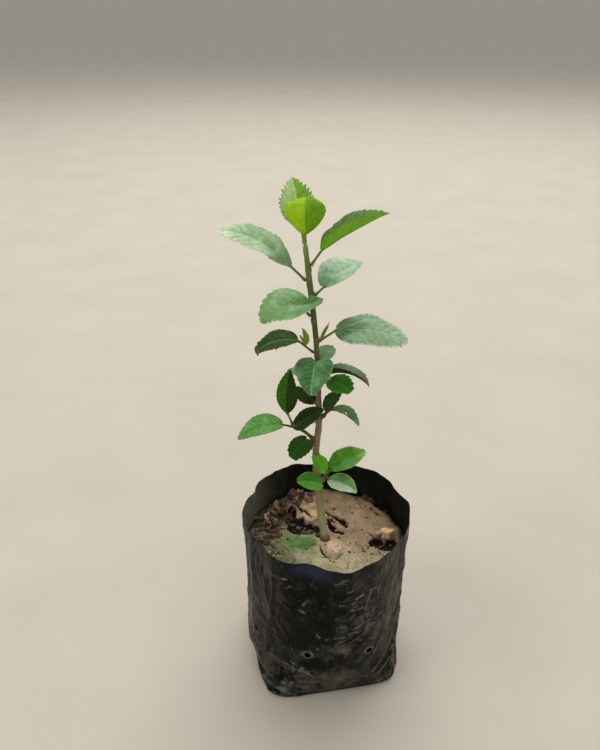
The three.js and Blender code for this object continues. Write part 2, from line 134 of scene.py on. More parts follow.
# Name, place, what it points at, size in metres and power in watts
LAMPS = [
    ("lamp_above", (0.2, 1.6, 2.5), (0, 0, 0.2), 3.0, 62),
    ("lamp_left", (-2.2, -0.9, 2.2), (0, 0, 0.2), 1.4, 18),
    ("lamp_front", (0.6, -2.4, 1.7), (0, 0, 0.15), 1.6, 7),
]
for name, at, target, size, power in LAMPS:
    lamp = bpy.data.objects.new(name, bpy.data.lights.new(name, "AREA"))
    lamp.data.size = size
    lamp.data.energy = power
    lamp.location = at
    away = np.array(at) - np.array(target)
    level = math.hypot(away[0], away[1])
    lamp.rotation_euler = (math.atan2(level, away[2]), 0, math.atan2(away[1], away[0]) + math.pi / 2)
    scene.collection.objects.link(lamp)


# Grow bag. A tube of black polythene film, 203 mm wide laid flat, welded across the bottom and filled
# with soil, so that its corners fold into ears at the ground and its empty top stands in loose folds.
# Eight punched drain holes have raised edges. Handling left dust, scuffs and creases on it. Its colour
# also carries painted glints along creases and folds, and a painted blue reflection of the sky under the rim.

MM = 0.001


class Shape:
    """Points, faces and painted values of one piece, gathered part by part."""

    def __init__(self, **painted_values):
        self.defaults = painted_values
        self.points, self.quads, self.tris, self.count = [], [], [], 0
        self.values = {name: [] for name in painted_values}

    def add(self, points, quads=(), tris=(), **values):
        points = np.asarray(points, float).reshape(-1, 3)
        for faces, kept in ((quads, self.quads), (tris, self.tris)):
            if len(faces):
                kept.append(np.asarray(faces, int) + self.count)
        self.points.append(points)
        self.count += len(points)
        for name, default in self.defaults.items():
            value = np.asarray(values.get(name, default), float)
            width = np.shape(default)
            self.values[name].append(np.broadcast_to(value, (len(points), *width)).astype(np.float32))

    def piece(self, name, material):
        """The piece as a smooth mesh in metres."""
        mesh = bpy.data.meshes.new(name)
        points = np.concatenate(self.points) * MM
        quads = np.concatenate(self.quads) if self.quads else np.zeros((0, 4), int)
        tris = np.concatenate(self.tris) if self.tris else np.zeros((0, 3), int)
        corners = np.concatenate([quads.ravel(), tris.ravel()]).astype(np.int32)
        firsts = np.concatenate([np.arange(len(quads)) * 4, len(quads) * 4 + np.arange(len(tris)) * 3])
        mesh.vertices.add(len(points))
        mesh.vertices.foreach_set("co", points.astype(np.float32).ravel())
        mesh.loops.add(len(corners))
        mesh.loops.foreach_set("vertex_index", corners)
        mesh.polygons.add(len(firsts))
        mesh.polygons.foreach_set("loop_start", firsts.astype(np.int32))
        mesh.polygons.foreach_set("use_smooth", np.ones(len(firsts), bool))
        for key, parts in self.values.items():
            values = np.concatenate(parts)
            kind = {(): "FLOAT", (3,): "FLOAT_VECTOR", (4,): "FLOAT_COLOR"}[values.shape[1:]]
            field = {"FLOAT": "value", "FLOAT_VECTOR": "vector", "FLOAT_COLOR": "color"}[kind]
            mesh.attributes.new(key, kind, "POINT").data.foreach_set(field, values.ravel())
        mesh.update(calc_edges=True)
        mesh.validate()
        mesh.materials.append(material)
        made = bpy.data.objects.new(name, mesh)
        scene.collection.objects.link(made)
        return made


def sheet(shape, outer, inner, kept=None, wraps=False, capped=False, **values):
    """A thin skin between two grids of points that is closed along its edges and round its holes.
    kept says which cells of the grid are there. A capped skin is closed over its first row."""
    rows, cols = outer.shape[:2]
    span = cols if wraps else cols - 1
    kept = np.ones((rows - 1, span), bool) if kept is None else kept
    index = np.arange(rows * cols).reshape(rows, cols)
    row, col = np.nonzero(kept)
    after = (col + 1) % cols
    a, b, c, d = index[row, col], index[row, after], index[row + 1, after], index[row + 1, col]
    far = rows * cols
    quads = [np.stack([a, b, c, d], 1), np.stack([d, c, b, a], 1) + far]
    sides = ((a, b, -1, 0), (b, c, 0, 1), (c, d, 1, 0), (d, a, 0, -1))
    padded = np.zeros((rows + 1, span + 2), bool)
    padded[1:-1, 1:-1] = kept
    if wraps:
        padded[1:-1, 0] = kept[:, -1]
        padded[1:-1, -1] = kept[:, 0]
    for first, second, down, across in sides:
        open_edge = ~padded[row + 1 + down, col + 1 + across]
        if capped and down == -1:
            open_edge &= row > 0
        p, q = first[open_edge], second[open_edge]
        quads.append(np.stack([q, p, p + far, q + far], 1))
    points = np.concatenate([outer.reshape(-1, 3), inner.reshape(-1, 3)])
    tris = []
    if capped:
        middles = np.stack([outer[0].mean(0), inner[0].mean(0)])
        ring = index[0]
        turned = np.roll(ring, -1)
        tris = np.concatenate([np.stack([turned, ring, np.full(cols, 2 * far)], 1),
                               np.stack([ring + far, turned + far, np.full(cols, 2 * far + 1)], 1)])
        points = np.concatenate([points, middles])
        values = {k: np.concatenate([v, v[:1], v[:1]]) if np.ndim(v) else v for k, v in values.items()}
    shape.add(points, np.concatenate(quads), tris, **values)


def smooth(value, low, high):
    """0 below low, 1 above high, with a soft rise between."""
    t = np.clip((value - low) / (high - low), 0, 1)
    return t * t * (3 - 2 * t)


def bell(gap, half):
    """1 where there is no gap, falling off softly to a third at half."""
    return np.exp(-(gap / half) ** 2)


def ripple(points, size, seed):
    """Gradient noise, about -1 to 1, with swellings of about this size. size may differ by axis."""
    rng = np.random.default_rng(seed)
    table = np.tile(rng.permutation(256), 2)
    slopes = rng.normal(size=(256, 3))
    slopes /= np.linalg.norm(slopes, axis=1)[:, None]
    grid = points / np.asarray(size, float)
    cell = np.floor(grid).astype(int)
    part = grid - cell
    ease = part ** 3 * (part * (part * 6 - 15) + 10)
    cell &= 255
    total = np.zeros(len(points))
    for corner in product((0, 1), repeat=3):
        near = (cell + corner) & 255
        pick = table[(table[(table[near[:, 0]] + near[:, 1]) & 255] + near[:, 2]) & 255]
        weight = np.prod(np.where(corner, ease, 1 - ease), axis=1)
        total += weight * np.sum(slopes[pick] * (part - corner), axis=1)
    return total * 1.7


def away_from(points, line):
    """Distance in the plane from each point to a line of points, and how far along it, 0 to 1."""
    line = np.asarray(line, float)
    best = np.full(len(points), 1e9)
    where = np.zeros(len(points))
    total = len(line) - 1
    for i in range(total):
        step = line[i + 1] - line[i]
        t = np.clip((points - line[i]) @ step / (step @ step + 1e-12), 0, 1)
        gap = np.linalg.norm(points - line[i] - t[:, None] * step, axis=1)
        closer = gap < best
        best = np.where(closer, gap, best)
        where = np.where(closer, (i + t) / total, where)
    return best, where


FLAT_WIDTH = 203
MOUTH_RADIUS = FLAT_WIDTH / math.pi
WALL_HEIGHT = 140
FILM = 0.35
BASE_HALF, BASE_SHIFT, BASE_TURN, BASE_SQUARENESS = 56, -1.2, 12.6, 6
EDGE_HEIGHT, EDGE_INSET = 5, 2.5
BELLY_RADIUS, BELLY_HEIGHT = 62.5, 32
MOUTH_FROM = 95
FRONT_TURN = -80
DRUM_RADIUS = 60
# Millimetres along the wall for each degree of turn
TURN_MM = 1.08
# Soft folds of the rim: turn and half width in degrees, and how far out
RIM_FOLDS = [
    (50, 9, 3.3), (9, 9, 3), (-76, 9, 2), (117, 7, 3), (29, 7, -1.5), (-35, 18, -2.3), (-101, 11, -5.5),
    (-143, 13, -3.5), (161, 7, -3), (101, 6, -3.5),
]
HOLE_TURNS = [-100 + 45 * i for i in range(8)]
HOLE_HEIGHTS = [52, 47, 48, 50, 47, 49, 48, 50]
HOLE_RADIUS, HOLE_LIP, LIP_HALF = 2.7, 0.75, 0.9
# Creases in the film: points of turn and height, how far out in mm, half width in mm
CREASES = [
    ([(-150, 13), (-141, 7), (-129, 10), (-120, 10), (-113, 7), (-104, 2)], 1.1, 0.9),
    ([(-152, 24), (-143, 14), (-137, 12), (-125, 14), (-114, 11), (-106, 5)], -1.3, 1.6),
    ([(-147, 30), (-140, 19), (-130, 16), (-119, 17), (-108, 12)], 0.9, 1.2),
    ([(-130, 7), (-124, 8), (-116, 5), (-110, 2)], -1.1, 0.8),
    ([(-128, 3), (-121, 4), (-114, 2)], 1.0, 0.7),
    ([(-112, 35), (-104, 32), (-96, 29)], 0.8, 1.0),
    ([(-112, 38), (-104, 36), (-95, 33)], -0.9, 1.6),
    ([(-19, 62), (-21, 47), (-31, 41), (-38, 29), (-47, 22), (-55, 12)], 0.9, 1.1),
    ([(-17, 45), (-23, 31), (-37, 19), (-48, 12)], 1.0, 0.9),
    ([(-20, 40), (-27, 25), (-33, 14), (-36, 6)], 0.9, 0.9),
    ([(-28, 22), (-30, 14), (-33, 5), (-40, 4)], 1.3, 0.9),
    ([(-30, 15), (-36, 12), (-47, 11), (-60, 5)], -1.5, 1.6),
    ([(-17, 84), (-21, 60), (-34, 56), (-46, 51), (-54, 32)], 0.7, 1.2),
    ([(-14, 100), (-19, 76), (-25, 66), (-30, 50)], -0.8, 1.8),
    ([(-76, 81), (-72, 83)], 0.5, 0.7),
    ([(-68, 89), (-58, 92), (-49, 92)], 0.6, 0.8),
    ([(-82, 65), (-76, 68), (-70, 72)], 0.6, 0.8),
    ([(-79, 106), (-70, 105)], 0.4, 0.7),
    ([(-83, 58), (-76, 64)], 0.4, 0.7),
    ([(-61, 120), (-58, 112), (-62, 105)], 0.5, 0.8),
    ([(-127, 139), (-127, 118), (-128, 95), (-131, 70)], 1.0, 1.6),
    ([(-136, 136), (-138, 112), (-137, 84)], -0.8, 2.2),
    ([(-21, 138), (-19, 107), (-18, 72)], 0.9, 1.4),
    ([(-28, 138), (-27, 116), (-24, 92)], -0.9, 2.0),
    ([(-153, 130), (-150, 96), (-152, 60), (-149, 30)], 0.8, 1.5),
    ([(-167, 136), (-165, 100), (-168, 66)], -0.9, 1.9),
    ([(175, 138), (172, 104), (176, 62), (170, 30)], 1.0, 1.6),
    ([(150, 136), (154, 100), (149, 66)], 0.9, 1.5),
    ([(128, 139), (124, 108), (127, 80), (121, 52)], -1.0, 2.0),
    ([(96, 138), (99, 112), (95, 84)], 0.9, 1.4),
    ([(70, 139), (74, 112), (70, 86), (75, 60)], -0.9, 1.8),
    ([(40, 138), (43, 110), (39, 76)], 1.0, 1.5),
    ([(16, 139), (13, 112), (17, 80), (12, 50)], 0.8, 1.5),
    ([(160, 28), (148, 18), (136, 10), (124, 3)], 1.1, 1.0),
    ([(157, 16), (146, 8), (133, 3)], -1.2, 1.2),
    ([(150, 34), (138, 22), (126, 12)], 0.8, 1.1),
    ([(34, 5), (46, 10), (58, 9), (70, 3)], 1.1, 0.9),
    ([(30, 14), (44, 20), (58, 17), (72, 8)], -1.1, 1.4),
    ([(26, 26), (42, 32), (60, 26)], 0.8, 1.1),
    ([(112, 70), (104, 64), (98, 66)], 0.6, 0.8),
    ([(60, 90), (68, 84), (76, 86)], 0.6, 0.8),
    ([(84, 40), (92, 46), (100, 44)], 0.6, 0.9),
    ([(-2, 60), (4, 52), (2, 40)], 0.6, 0.9),
]
# Pale scratches: turn and height of both ends, and strength
SCRATCHES = [
    (-74, 118, -70, 119, 0.6), (-69, 109, -63, 111, 1), (-79, 106, -68, 104, 1), (-71, 97, -60, 97, 0.6),
    (-68, 89, -53, 85, 0.5), (-80, 82, -74, 82, 0.6), (-72, 73, -57, 74, 0.55), (-69, 78, -61, 81, 0.5),
    (-66, 65, -57, 72, 0.5), (-82, 128, -79, 129, 0.5), (-62, 114, -49, 113, 0.6), (-119, 124, -116, 124, 0.8),
    (-116, 116, -112, 118, 0.5), (-106, 97, -103, 95, 0.8), (-104, 103, -101, 107, 0.6),
    (-94, 76, -92, 73, 0.6), (-88, 70, -72, 71, 0.5), (-83, 63, -72, 69, 0.6), (-49, 61, -43, 78, 0.6),
    (-52, 43, -29, 70, 0.4), (-65, 40, -49, 49, 0.4), (-132, 35, -129, 34, 0.7), (-59, 55, -55, 53, 0.7),
    (-99, 56, -93, 52, 0.5), (-127, 9, -112, 10, 0.45), (-112, 10, -102, 6, 0.35), (-124, 14, -117, 14, 0.3),
    (-111, 30, -104, 35, 0.6), (-104, 35, -96, 28, 0.6), (-116, 19, -102, 13, 0.4), (-46, 5, -35, 7, 0.5),
    (-60, 20, -46, 8, 0.4),
]


def turn_from(turn, start):
    """How many degrees a turn lies past another, at most half way round."""
    return (turn - start + 180) % 360 - 180


def past(turn, start):
    """The same along the bag's wall in millimetres."""
    return turn_from(turn, start) * TURN_MM


def on_drum(turn, height):
    """Places on a plain drum, on which noise has no seam."""
    angle = np.radians(turn)
    return np.stack([DRUM_RADIUS * np.cos(angle), DRUM_RADIUS * np.sin(angle), height], 1)


def bag_radius(turn, height):
    """Outer radius of the filled bag without its creases."""
    angle = np.radians(turn - BASE_TURN)
    spread_out = np.abs(np.cos(angle)) ** BASE_SQUARENESS + np.abs(np.sin(angle)) ** BASE_SQUARENESS
    square = BASE_HALF / spread_out ** (1 / BASE_SQUARENESS)
    body = square + (BELLY_RADIUS - square) * smooth(height, 0, BELLY_HEIGHT)
    edge = np.clip(1 - height / EDGE_HEIGHT, 0, 1)
    inset = EDGE_INSET * (1 - np.sqrt(1 - edge * edge))
    folds = sum(out * bell(turn_from(turn, at), half) for at, half, out in RIM_FOLDS)
    opened = MOUTH_RADIUS - 1 - BELLY_RADIUS + folds
    return body - inset + smooth(height, MOUTH_FROM, WALL_HEIGHT) * opened


def film_relief(turn, height):
    """How far dents, pleats, creases and hole edges put the film out, and how creased it is there."""
    around = on_drum(turn, height)
    loose = 0.45 + 0.55 * smooth(height, 90, 130) + 0.35 * smooth(-height, -45, -10)
    dents = 1.5 * ripple(around, (24, 24, 40), 3) * loose
    away = np.abs(turn_from(turn, FRONT_TURN))
    pleats = 0.55 * ripple(around, (9, 9, 60), 4) * (0.35 + smooth(away, 25, 60))
    crinkles = 0.32 * ripple(around, (7, 7, 11), 5)
    winding = np.clip(1 - np.abs(ripple(around, (15, 15, 19), 6)) * 2.2, 0, 1)
    wrinkles = 0.75 * winding ** 4 * smooth(ripple(around, 34, 7), -0.2, 0.4)
    slant = np.stack([around[:, 0] + 0.55 * height, around[:, 1], height * 0.35], 1)
    right_front = smooth(np.cos(np.radians(turn) - math.radians(-42)), 0.4, 0.9)
    slanted = 0.45 * ripple(slant, (7, 30, 20), 12) * right_front
    bulge = 2.4 * bell(turn_from(turn, 200), 24) * bell(height - 24, 17)
    out = dents + pleats + crinkles + wrinkles + slanted + bulge
    creased = np.zeros(len(turn))
    for line, rise, half in CREASES:
        near = np.stack([past(turn, line[0][0]), height], 1)
        gap, where = away_from(near, [(past(t, line[0][0]), h) for t, h in line])
        ends = smooth(where, -0.12, 0.12) * smooth(-where, -1.12, -0.85)
        shape = np.exp(-(gap / half) ** 1.3) * ends
        out += rise * shape
        creased = np.maximum(creased, shape * (rise > 0))
    for at, level in zip(HOLE_TURNS, HOLE_HEIGHTS):
        lip = bell(np.hypot(past(turn, at), height - level) - HOLE_RADIUS, LIP_HALF)
        out += HOLE_LIP * lip
        creased = np.maximum(creased, lip)
    return out * smooth(height, 0, 2.5), creased


COLUMNS = 300
FOOT_HEIGHTS, RIM_HEIGHTS = [0.3, 0.8, 1.4, 2.2, 3.1, 4.1, 5.2], [138.9, 139.5, 140]
wall_heights = np.concatenate([FOOT_HEIGHTS, np.arange(6.3, 138.2, 1.0), RIM_HEIGHTS])
base_scales = [0.04, 0.2, 0.42, 0.62, 0.78, 0.9, 0.97]
turns = -60 + 360 * np.arange(COLUMNS) / COLUMNS
rows = len(base_scales) + 1 + len(wall_heights)
turn = np.tile(turns, (rows, 1))
height = np.zeros((rows, COLUMNS))
height[len(base_scales) + 1:] = wall_heights[:, None]
reach = np.ones((rows, COLUMNS))
reach[:len(base_scales)] = np.array(base_scales)[:, None]

# The cells inside a drain hole go, and the corners round it move onto its edge
middle_turn = turn[:-1] + 180 / COLUMNS
middle_height = (height[:-1] + height[1:]) / 2
kept = np.ones((rows - 1, COLUMNS), bool)
for at, level in zip(HOLE_TURNS, HOLE_HEIGHTS):
    kept &= np.hypot(past(middle_turn, at), middle_height - level) > HOLE_RADIUS
around_cells = np.pad(kept, ((1, 1), (0, 0)), constant_values=True)
touches = np.zeros((rows, COLUMNS), bool)
for shift in (0, 1):
    ring = np.roll(around_cells, shift, axis=1)
    touches |= ~ring[:-1] | ~ring[1:]
for at, level in zip(HOLE_TURNS, HOLE_HEIGHTS):
    off_turn = past(turn, at)
    off_height = height - level
    gap = np.hypot(off_turn, off_height)
    at_edge = touches & (gap < HOLE_RADIUS + 1.6) & (gap > 0.2)
    share = np.where(at_edge, HOLE_RADIUS / np.maximum(gap, 0.2), 1)
    turn = turn + off_turn * (share - 1) / TURN_MM
    height = height + off_height * (share - 1)

flat_turn, flat_height, flat_reach = turn.ravel(), height.ravel(), reach.ravel()
out, creased = film_relief(flat_turn, flat_height)
ring_place = on_drum(flat_turn, 0 * flat_turn)
rim_wave = 0.9 * ripple(ring_place, 22, 8) + 0.45 * ripple(ring_place, 6, 9) - 0.35
level = flat_height + rim_wave * smooth(flat_height, 118, 140)


def on_bag(turn, height, radius):
    """Places at this radius on the bag, whose foot stands a little to the left."""
    angle = np.radians(turn)
    slide = BASE_SHIFT * (1 - smooth(height, 0, BELLY_HEIGHT))
    return np.stack([radius * np.cos(angle) + slide, radius * np.sin(angle), height], -1)


radius = (bag_radius(flat_turn, flat_height) + out) * flat_reach
outer = on_bag(flat_turn, level, radius)
thick = np.where(flat_height > 0, FILM, 0)
inner = on_bag(flat_turn, np.maximum(level, FILM), radius - thick)
inside = np.repeat([0.0, 1.0], len(outer))
# Dust lies on the two sides, on the lower front, round the holes and inside the rim at the left
from_front = turn_from(flat_turn, FRONT_TURN)
side = smooth(np.abs(from_front), 46, 66)
lower = smooth(-flat_height, -70, -5)
around = on_drum(flat_turn, flat_height)
patch = bell(from_front, 11) * bell(flat_height - 24, 14)
patch += 0.6 * bell(from_front, 7) * bell(flat_height - 55, 6)
patch *= 0.7 + 0.9 * ripple(around, (9, 9, 7), 15)
for at, level in zip(HOLE_TURNS, HOLE_HEIGHTS):
    patch += 0.7 * bell(np.hypot(past(flat_turn, at), flat_height - level) - 3, 1.8)
side_dust = (0.26 + 0.16 * np.cos(np.radians(flat_turn) + 0.5)) * side
dust = np.clip(0.01 + side_dust + 0.3 * lower * (1 - side) + 0.85 * patch, 0, 1)
dust *= smooth(flat_height, 0.5, 4)
inner_dust = 0.04 + 0.9 * bell(turn_from(flat_turn, 172), 30)
# Where the film is worn, with scratches and with painted glints along its folds
worn = bell(from_front - 20, 20) * bell(flat_height - 88, 34)
worn += 0.15 * bell(from_front + 38, 14) * bell(flat_height - 16, 16)
worn = np.clip(worn + 0.08 * side + 0.07, 0, 1)
olive = np.clip(1 - side, 0, 1)
# Painted glints along the crests of creases and round the hole lips, strongest low down, and then pale
# scratches
scuff = creased ** 3 * (0.2 + 0.75 * smooth(-flat_height, -60, -40)) * smooth(flat_height, 0.5, 3)
wobble = 1.1 * np.stack([ripple(around, 5, 13), ripple(around, 5, 14)], 1)
FINE_SCRATCHES, ON_THE_RIGHT, SCRATCH_HALF = 90, 66, 0.85
rng = np.random.default_rng(5)
for i in range(FINE_SCRATCHES):
    right = i < ON_THE_RIGHT
    t0, h0 = (rng.normal(-60, 13), rng.normal(88, 22)) if right else (rng.normal(-112, 12), rng.normal(24, 12))
    slant, length = rng.normal(0.1, 0.5), rng.uniform(2, 9)
    t1, h1 = t0 + length * math.cos(slant), h0 + length * math.sin(slant)
    SCRATCHES.append((t0, h0, t1, h1, rng.uniform(0.12, 0.45)))
for t0, h0, t1, h1, strength in SCRATCHES:
    near = np.stack([past(flat_turn, t0), flat_height], 1) + wobble
    gap, _ = away_from(near, [(0, h0), (past(t1, t0), h1)])
    scuff = np.maximum(scuff, strength * bell(gap, SCRATCH_HALF))
# A painted reflection of the sky, blue, on the front just under the rim
sheen = bell(from_front + 18, 16) * bell(flat_height - 136, 9)
bag = Shape(inside=0.0, dust=0.0, olive=0.0, scuff=0.0, sheen=0.0, worn=0.0)
sheet(bag, outer.reshape(rows, COLUMNS, 3), inner.reshape(rows, COLUMNS, 3), kept, wraps=True, capped=True,
      inside=inside, dust=np.concatenate([dust, inner_dust]), worn=np.tile(worn, 2), olive=np.tile(olive, 2),
      scuff=np.concatenate([scuff, 0.1 * scuff]), sheen=np.concatenate([sheen, 0 * sheen]))


def maths(tree, how, first, second=0.5):
    return add(tree, "Math", {0: first, 1: second}, operation=how).outputs[0]


def times(tree, first, second):
    return maths(tree, "MULTIPLY", first, second)


def plus(tree, first, second):
    return maths(tree, "ADD", first, second)


def painted(tree, name, part="Fac"):
    """What a mesh carries at each point under this name."""
    return add(tree, "Attribute", attribute_name=name).outputs[part]


def relief(tree, shader, height, distance, strength=1.0):
    """Leads a height through a bump into the shader, with the distance in millimetres."""
    bump = add(tree, "Bump", {"Height": height, "Distance": distance * MM, "Strength": strength})
    tree.links.new(bump.outputs[0], shader.inputs["Normal"])


def drawn_out(tree, place, share, rotation=(0, 0, 0)):
    """Places drawn out along one way, on which noise runs in streaks."""
    return add(tree, "Mapping", {"Vector": place, "Rotation": rotation, "Scale": (1, 1, share)}).outputs[0]


def specks_on(tree, place, scale, near, far, patches, low, high):
    """Small round specks, 1 in each, that lie in patches of the surface."""
    gap = add(tree, "TexVoronoi", {"Vector": place, "Scale": scale}).outputs["Distance"]
    lie = spread(tree, noise(tree, place, patches, 2), low, high)
    return times(tree, spread(tree, gap, near, far, 1, 0), lie)


def node_group(name, inputs, outputs):
    """An empty group of shader nodes, the sockets of what comes in and those of what goes out."""
    group = bpy.data.node_groups.new(name, "ShaderNodeTree")
    for socket, kind in inputs:
        group.interface.new_socket(socket, in_out="INPUT", socket_type=f"NodeSocket{kind}")
    for socket in outputs:
        group.interface.new_socket(socket, in_out="OUTPUT", socket_type="NodeSocketFloat")
    return group, group.nodes.new("NodeGroupInput").outputs, group.nodes.new("NodeGroupOutput").inputs


# Dust as it settles: cloudy patches with fine grains in them
dust_group, given, made = node_group(
    "settled_dust", (("Place", "Vector"), ("Amount", "Float"), ("Patch Size", "Float")), ("Cover", "Grain"))
scale = maths(dust_group, "DIVIDE", 1.0, given["Patch Size"])
clouds = noise(dust_group, given["Place"], scale, 6, 0.62)
grains = noise(dust_group, given["Place"], times(dust_group, scale, 30.0), 2, 0.7)
edge = plus(dust_group, clouds, times(dust_group, given["Amount"], 0.34))
cover = times(dust_group, spread(dust_group, edge, 0.55, 0.84), spread(dust_group, grains, 0.3, 0.65, 0.5, 1.0))
cover = times(dust_group, cover, spread(dust_group, given["Amount"], 0, 0.5, 0.3, 0.7))
dust_group.links.new(cover, made["Cover"])
dust_group.links.new(grains, made["Grain"])


def settled_dust(tree, place, amount, patch_size):
    inputs = {"Place": place, "Amount": amount, "Patch Size": patch_size}
    group = add(tree, "Group", inputs, node_tree=dust_group)
    return group.outputs["Cover"], group.outputs["Grain"]


film, tree, shader = finish_of("black_polythene", Specular_IOR_Level=0.1, Specular_Tint=(1.0, 0.92, 0.7, 1))
place = add(tree, "TexCoord").outputs["Object"]
outside = spread(tree, painted(tree, "inside"), 0, 1, 1, 0.12)
cover, grain = settled_dust(tree, place, painted(tree, "dust"), 0.014)
# Black film, with the painted blue reflection of the sky under the front rim
colour = mix(tree, painted(tree, "sheen"), paint(3, 3, 4), paint(34, 45, 62))
brown = mix(tree, painted(tree, "olive"), paint(90, 82, 66), paint(122, 120, 100))
colour = mix(tree, cover, colour, brown)
hazed = times(tree, painted(tree, "inside"), painted(tree, "dust"))
colour = mix(tree, times(tree, hazed, 0.75), colour, paint(126, 126, 110))


def ridges(tree, place, scale, sharp):
    """Thin winding lines, 1 along each and 0 between them."""
    level = maths(tree, "ABSOLUTE", maths(tree, "SUBTRACT", noise(tree, place, scale, 1.5), 0.5))
    return spread(tree, level, 0, sharp, 1, 0)


# Fold lines: they raise the film, and where it is worn they carry painted glints
slanted = drawn_out(tree, place, 0.5, (0.2, 0.75, 0.1))
wide_folds = times(tree, ridges(tree, slanted, 62, 0.07), spread(tree, noise(tree, place, 30, 2), 0.42, 0.6))
fine_folds = times(tree, ridges(tree, slanted, 170, 0.06), spread(tree, noise(tree, place, 55, 2), 0.48, 0.62))
folds = plus(tree, wide_folds, times(tree, fine_folds, 0.45))
breaks = spread(tree, noise(tree, slanted, 210, 5, 0.75), 0.42, 0.54)
scuff_and_glint_lines = times(tree, painted(tree, "scuff"), breaks)
wear_and_glint_share = painted(tree, "worn")
glints_and_scratches = times(tree, times(tree, folds, breaks), wear_and_glint_share)
stretched = drawn_out(tree, place, 0.14, (0.3, 0.9, 0.2))
scratched = times(tree, spread(tree, noise(tree, stretched, 240, 3, 0.6), 0.62, 0.74), wear_and_glint_share)
glints_and_scratches = maths(tree, "MAXIMUM", glints_and_scratches, times(tree, scratched, 0.5))
# Pale marks: scuffs and scratches, and painted glints along creases and folds
pale = maths(tree, "MAXIMUM", times(tree, scuff_and_glint_lines, 0.58), times(tree, glints_and_scratches, times(tree, outside, 0.5)))
colour = mix(tree, pale, colour, paint(176, 174, 162))
specks = specks_on(tree, place, 260, 0.05, 0.2, 90, 0.58, 0.64)
colour = mix(tree, times(tree, specks, 0.5), colour, paint(150, 142, 122))
tree.links.new(colour, shader.inputs["Base Color"])
rough = plus(tree, spread(tree, cover, 0, 0.5, 0.24, 0.8), times(tree, pale, 0.2))
tree.links.new(rough, shader.inputs["Roughness"])
crinkle = times(tree, noise(tree, place, 190, 5, 0.6), 0.5)
relief(tree, shader, plus(tree, plus(tree, crinkle, folds), times(tree, grain, 0.12)), 0.7, 0.9)
grow_bag = bag.piece("grow_bag_film", film)
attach(grow_bag, "root")
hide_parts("grow_bag")

# Soil. Dry silty loam that watering has settled to a smooth tan crust, 28 mm below the rim. It has a
# high cracked clod behind on the left, cracks and pits, a green bloom of algae, and a stone at the right.
SOIL_HEIGHT, SOIL_EDGE, SOIL_PAD, SOIL_RELIEF = 112, 110, 9, 0.9
SOIL_GAP = 0.5
SOIL_COLUMNS = 360
# Lumps in the crust: middle, half sizes, height and how flat the top is
LUMPS = [
    ((-20, 40), (14, 13), 5.4, 0.35), ((-12, 23), (8, 8), 3.4, 0.4), ((7, -12.5), (8.5, 8), 2.6, 0.6),
    ((18, 40), (13, 9), 2.0, 0.9), ((-44, 22), (7, 9), 2.0, 0.9), ((24, -38), (8, 6), 1.4, 0.9),
    ((10, 18), (5, 4), 1.0, 0.8), ((50, 2), (8, 6), 1.6, 0.8),
]
# Cracks: points, depth and half width
CRACKS = [
    ([(-28, 38), (-22, 30), (-17, 27), (-11, 20)], 4.0, 0.8), ([(-24, 44), (-20, 38), (-22, 30)], 1.6, 0.4),
    ([(-3, 37), (3, 30), (8, 26), (14, 19)], 3.4, 0.8), ([(4, -23), (9, -22), (14, -17)], 1.4, 0.5),
    ([(10, 24), (14, 23), (18, 18)], 4.5, 1.1), ([(6, 26), (5, 21), (9, 18)], 3.0, 0.7),
    ([(8, 26), (12, 21), (17, 15)], 5.0, 1.5), ([(2, 24), (4, 15), (6, 9)], 5.5, 1.3),
    ([(5, 10), (10, 8), (14, 7)], 4.5, 1.5), ([(4, 16), (8, 11)], 5.0, 1.6),
    ([(-3.5, -8), (-2.5, -14), (1, -19), (5, -21)], 2.2, 0.7), ([(14, -12), (12, -17)], 1.0, 0.4),
    ([(13, -5), (19, -8), (21, -4)], 0.9, 0.35), ([(-48, -4), (-43, -12), (-38, -13), (-34, -20)], 1.2, 0.4),
    ([(-34, -9), (-29, -14), (-25, -22)], 1.2, 0.4), ([(-44, -16), (-36, -24), (-29, -30)], 1.4, 0.45),
    ([(26, -16), (31, -20), (35, -27)], 1.0, 0.35), ([(16, -24), (18, -29), (15, -33)], 1.1, 0.5),
    ([(30, -12), (38, -16), (44, -20)], 1.0, 0.4), ([(-46, 6), (-41, 2), (-42, -3)], 1.6, 0.5),
    ([(-38, 8), (-34, 3), (-37, -2), (-33, -5)], 1.6, 0.5), ([(-30, 2), (-27, -3), (-30, -7)], 1.2, 0.4),
    ([(-27, -20), (-22, -25), (-24, -30), (-18, -33)], 1.6, 0.5),
    ([(-40, -20), (-33, -17), (-30, -22)], 1.6, 0.5), ([(-16, -20), (-10, -24), (-12, -29)], 1.0, 0.35),
    ([(-48, 14), (-42, 12), (-40, 16)], 1.6, 0.6), ([(34, 8), (39, 4), (37, -1), (42, -3)], 2.2, 0.8),
    ([(30, -4), (35, -8), (33, -12)], 1.4, 0.5), ([(18, 6), (23, 9), (22, 14)], 1.0, 0.4),
    ([(24, 34), (30, 38), (28, 43)], 1.3, 0.5), ([(-8, 50), (0, 46), (6, 50)], 1.2, 0.5),
    ([(26, 22), (30, 26), (36, 25)], 0.8, 0.35), ([(-20, -40), (-12, -44), (-4, -43)], 0.9, 0.4),
    ([(10, -46), (20, -48), (28, -44)], 0.9, 0.4), ([(-40, 30), (-34, 24), (-36, 16)], 1.4, 0.5),
    ([(-14, -3), (-9, -8), (-6, -6)], 1.0, 0.4),
]
# Hollows: middle, half sizes and depth
HOLLOWS = [
    ((-17, 10.5), (12.5, 5.5), 5.5), ((-24, 17), (6.5, 6), 5.0), ((52, -3), (5, 3), 2.2),
    ((-29, 24), (5, 8), 4.5), ((40, -3), (5, 5), 5.0), ((47, -7), (7, 3.5), 3.2), ((7, 37), (1.6, 1.2), 1.6),
    ((43, 32), (2, 1.6), 1.8), ((22, 31), (1.2, 1), 1.0), ((34, 26), (1.3, 1), 1.2), ((-37, 19), (2, 1.8), 1.4),
    ((-35, 10), (2, 1.4), 1.3), ((46, 44), (7, 5), 2.6), ((-5, 4), (2.5, 3), 2.0),
]


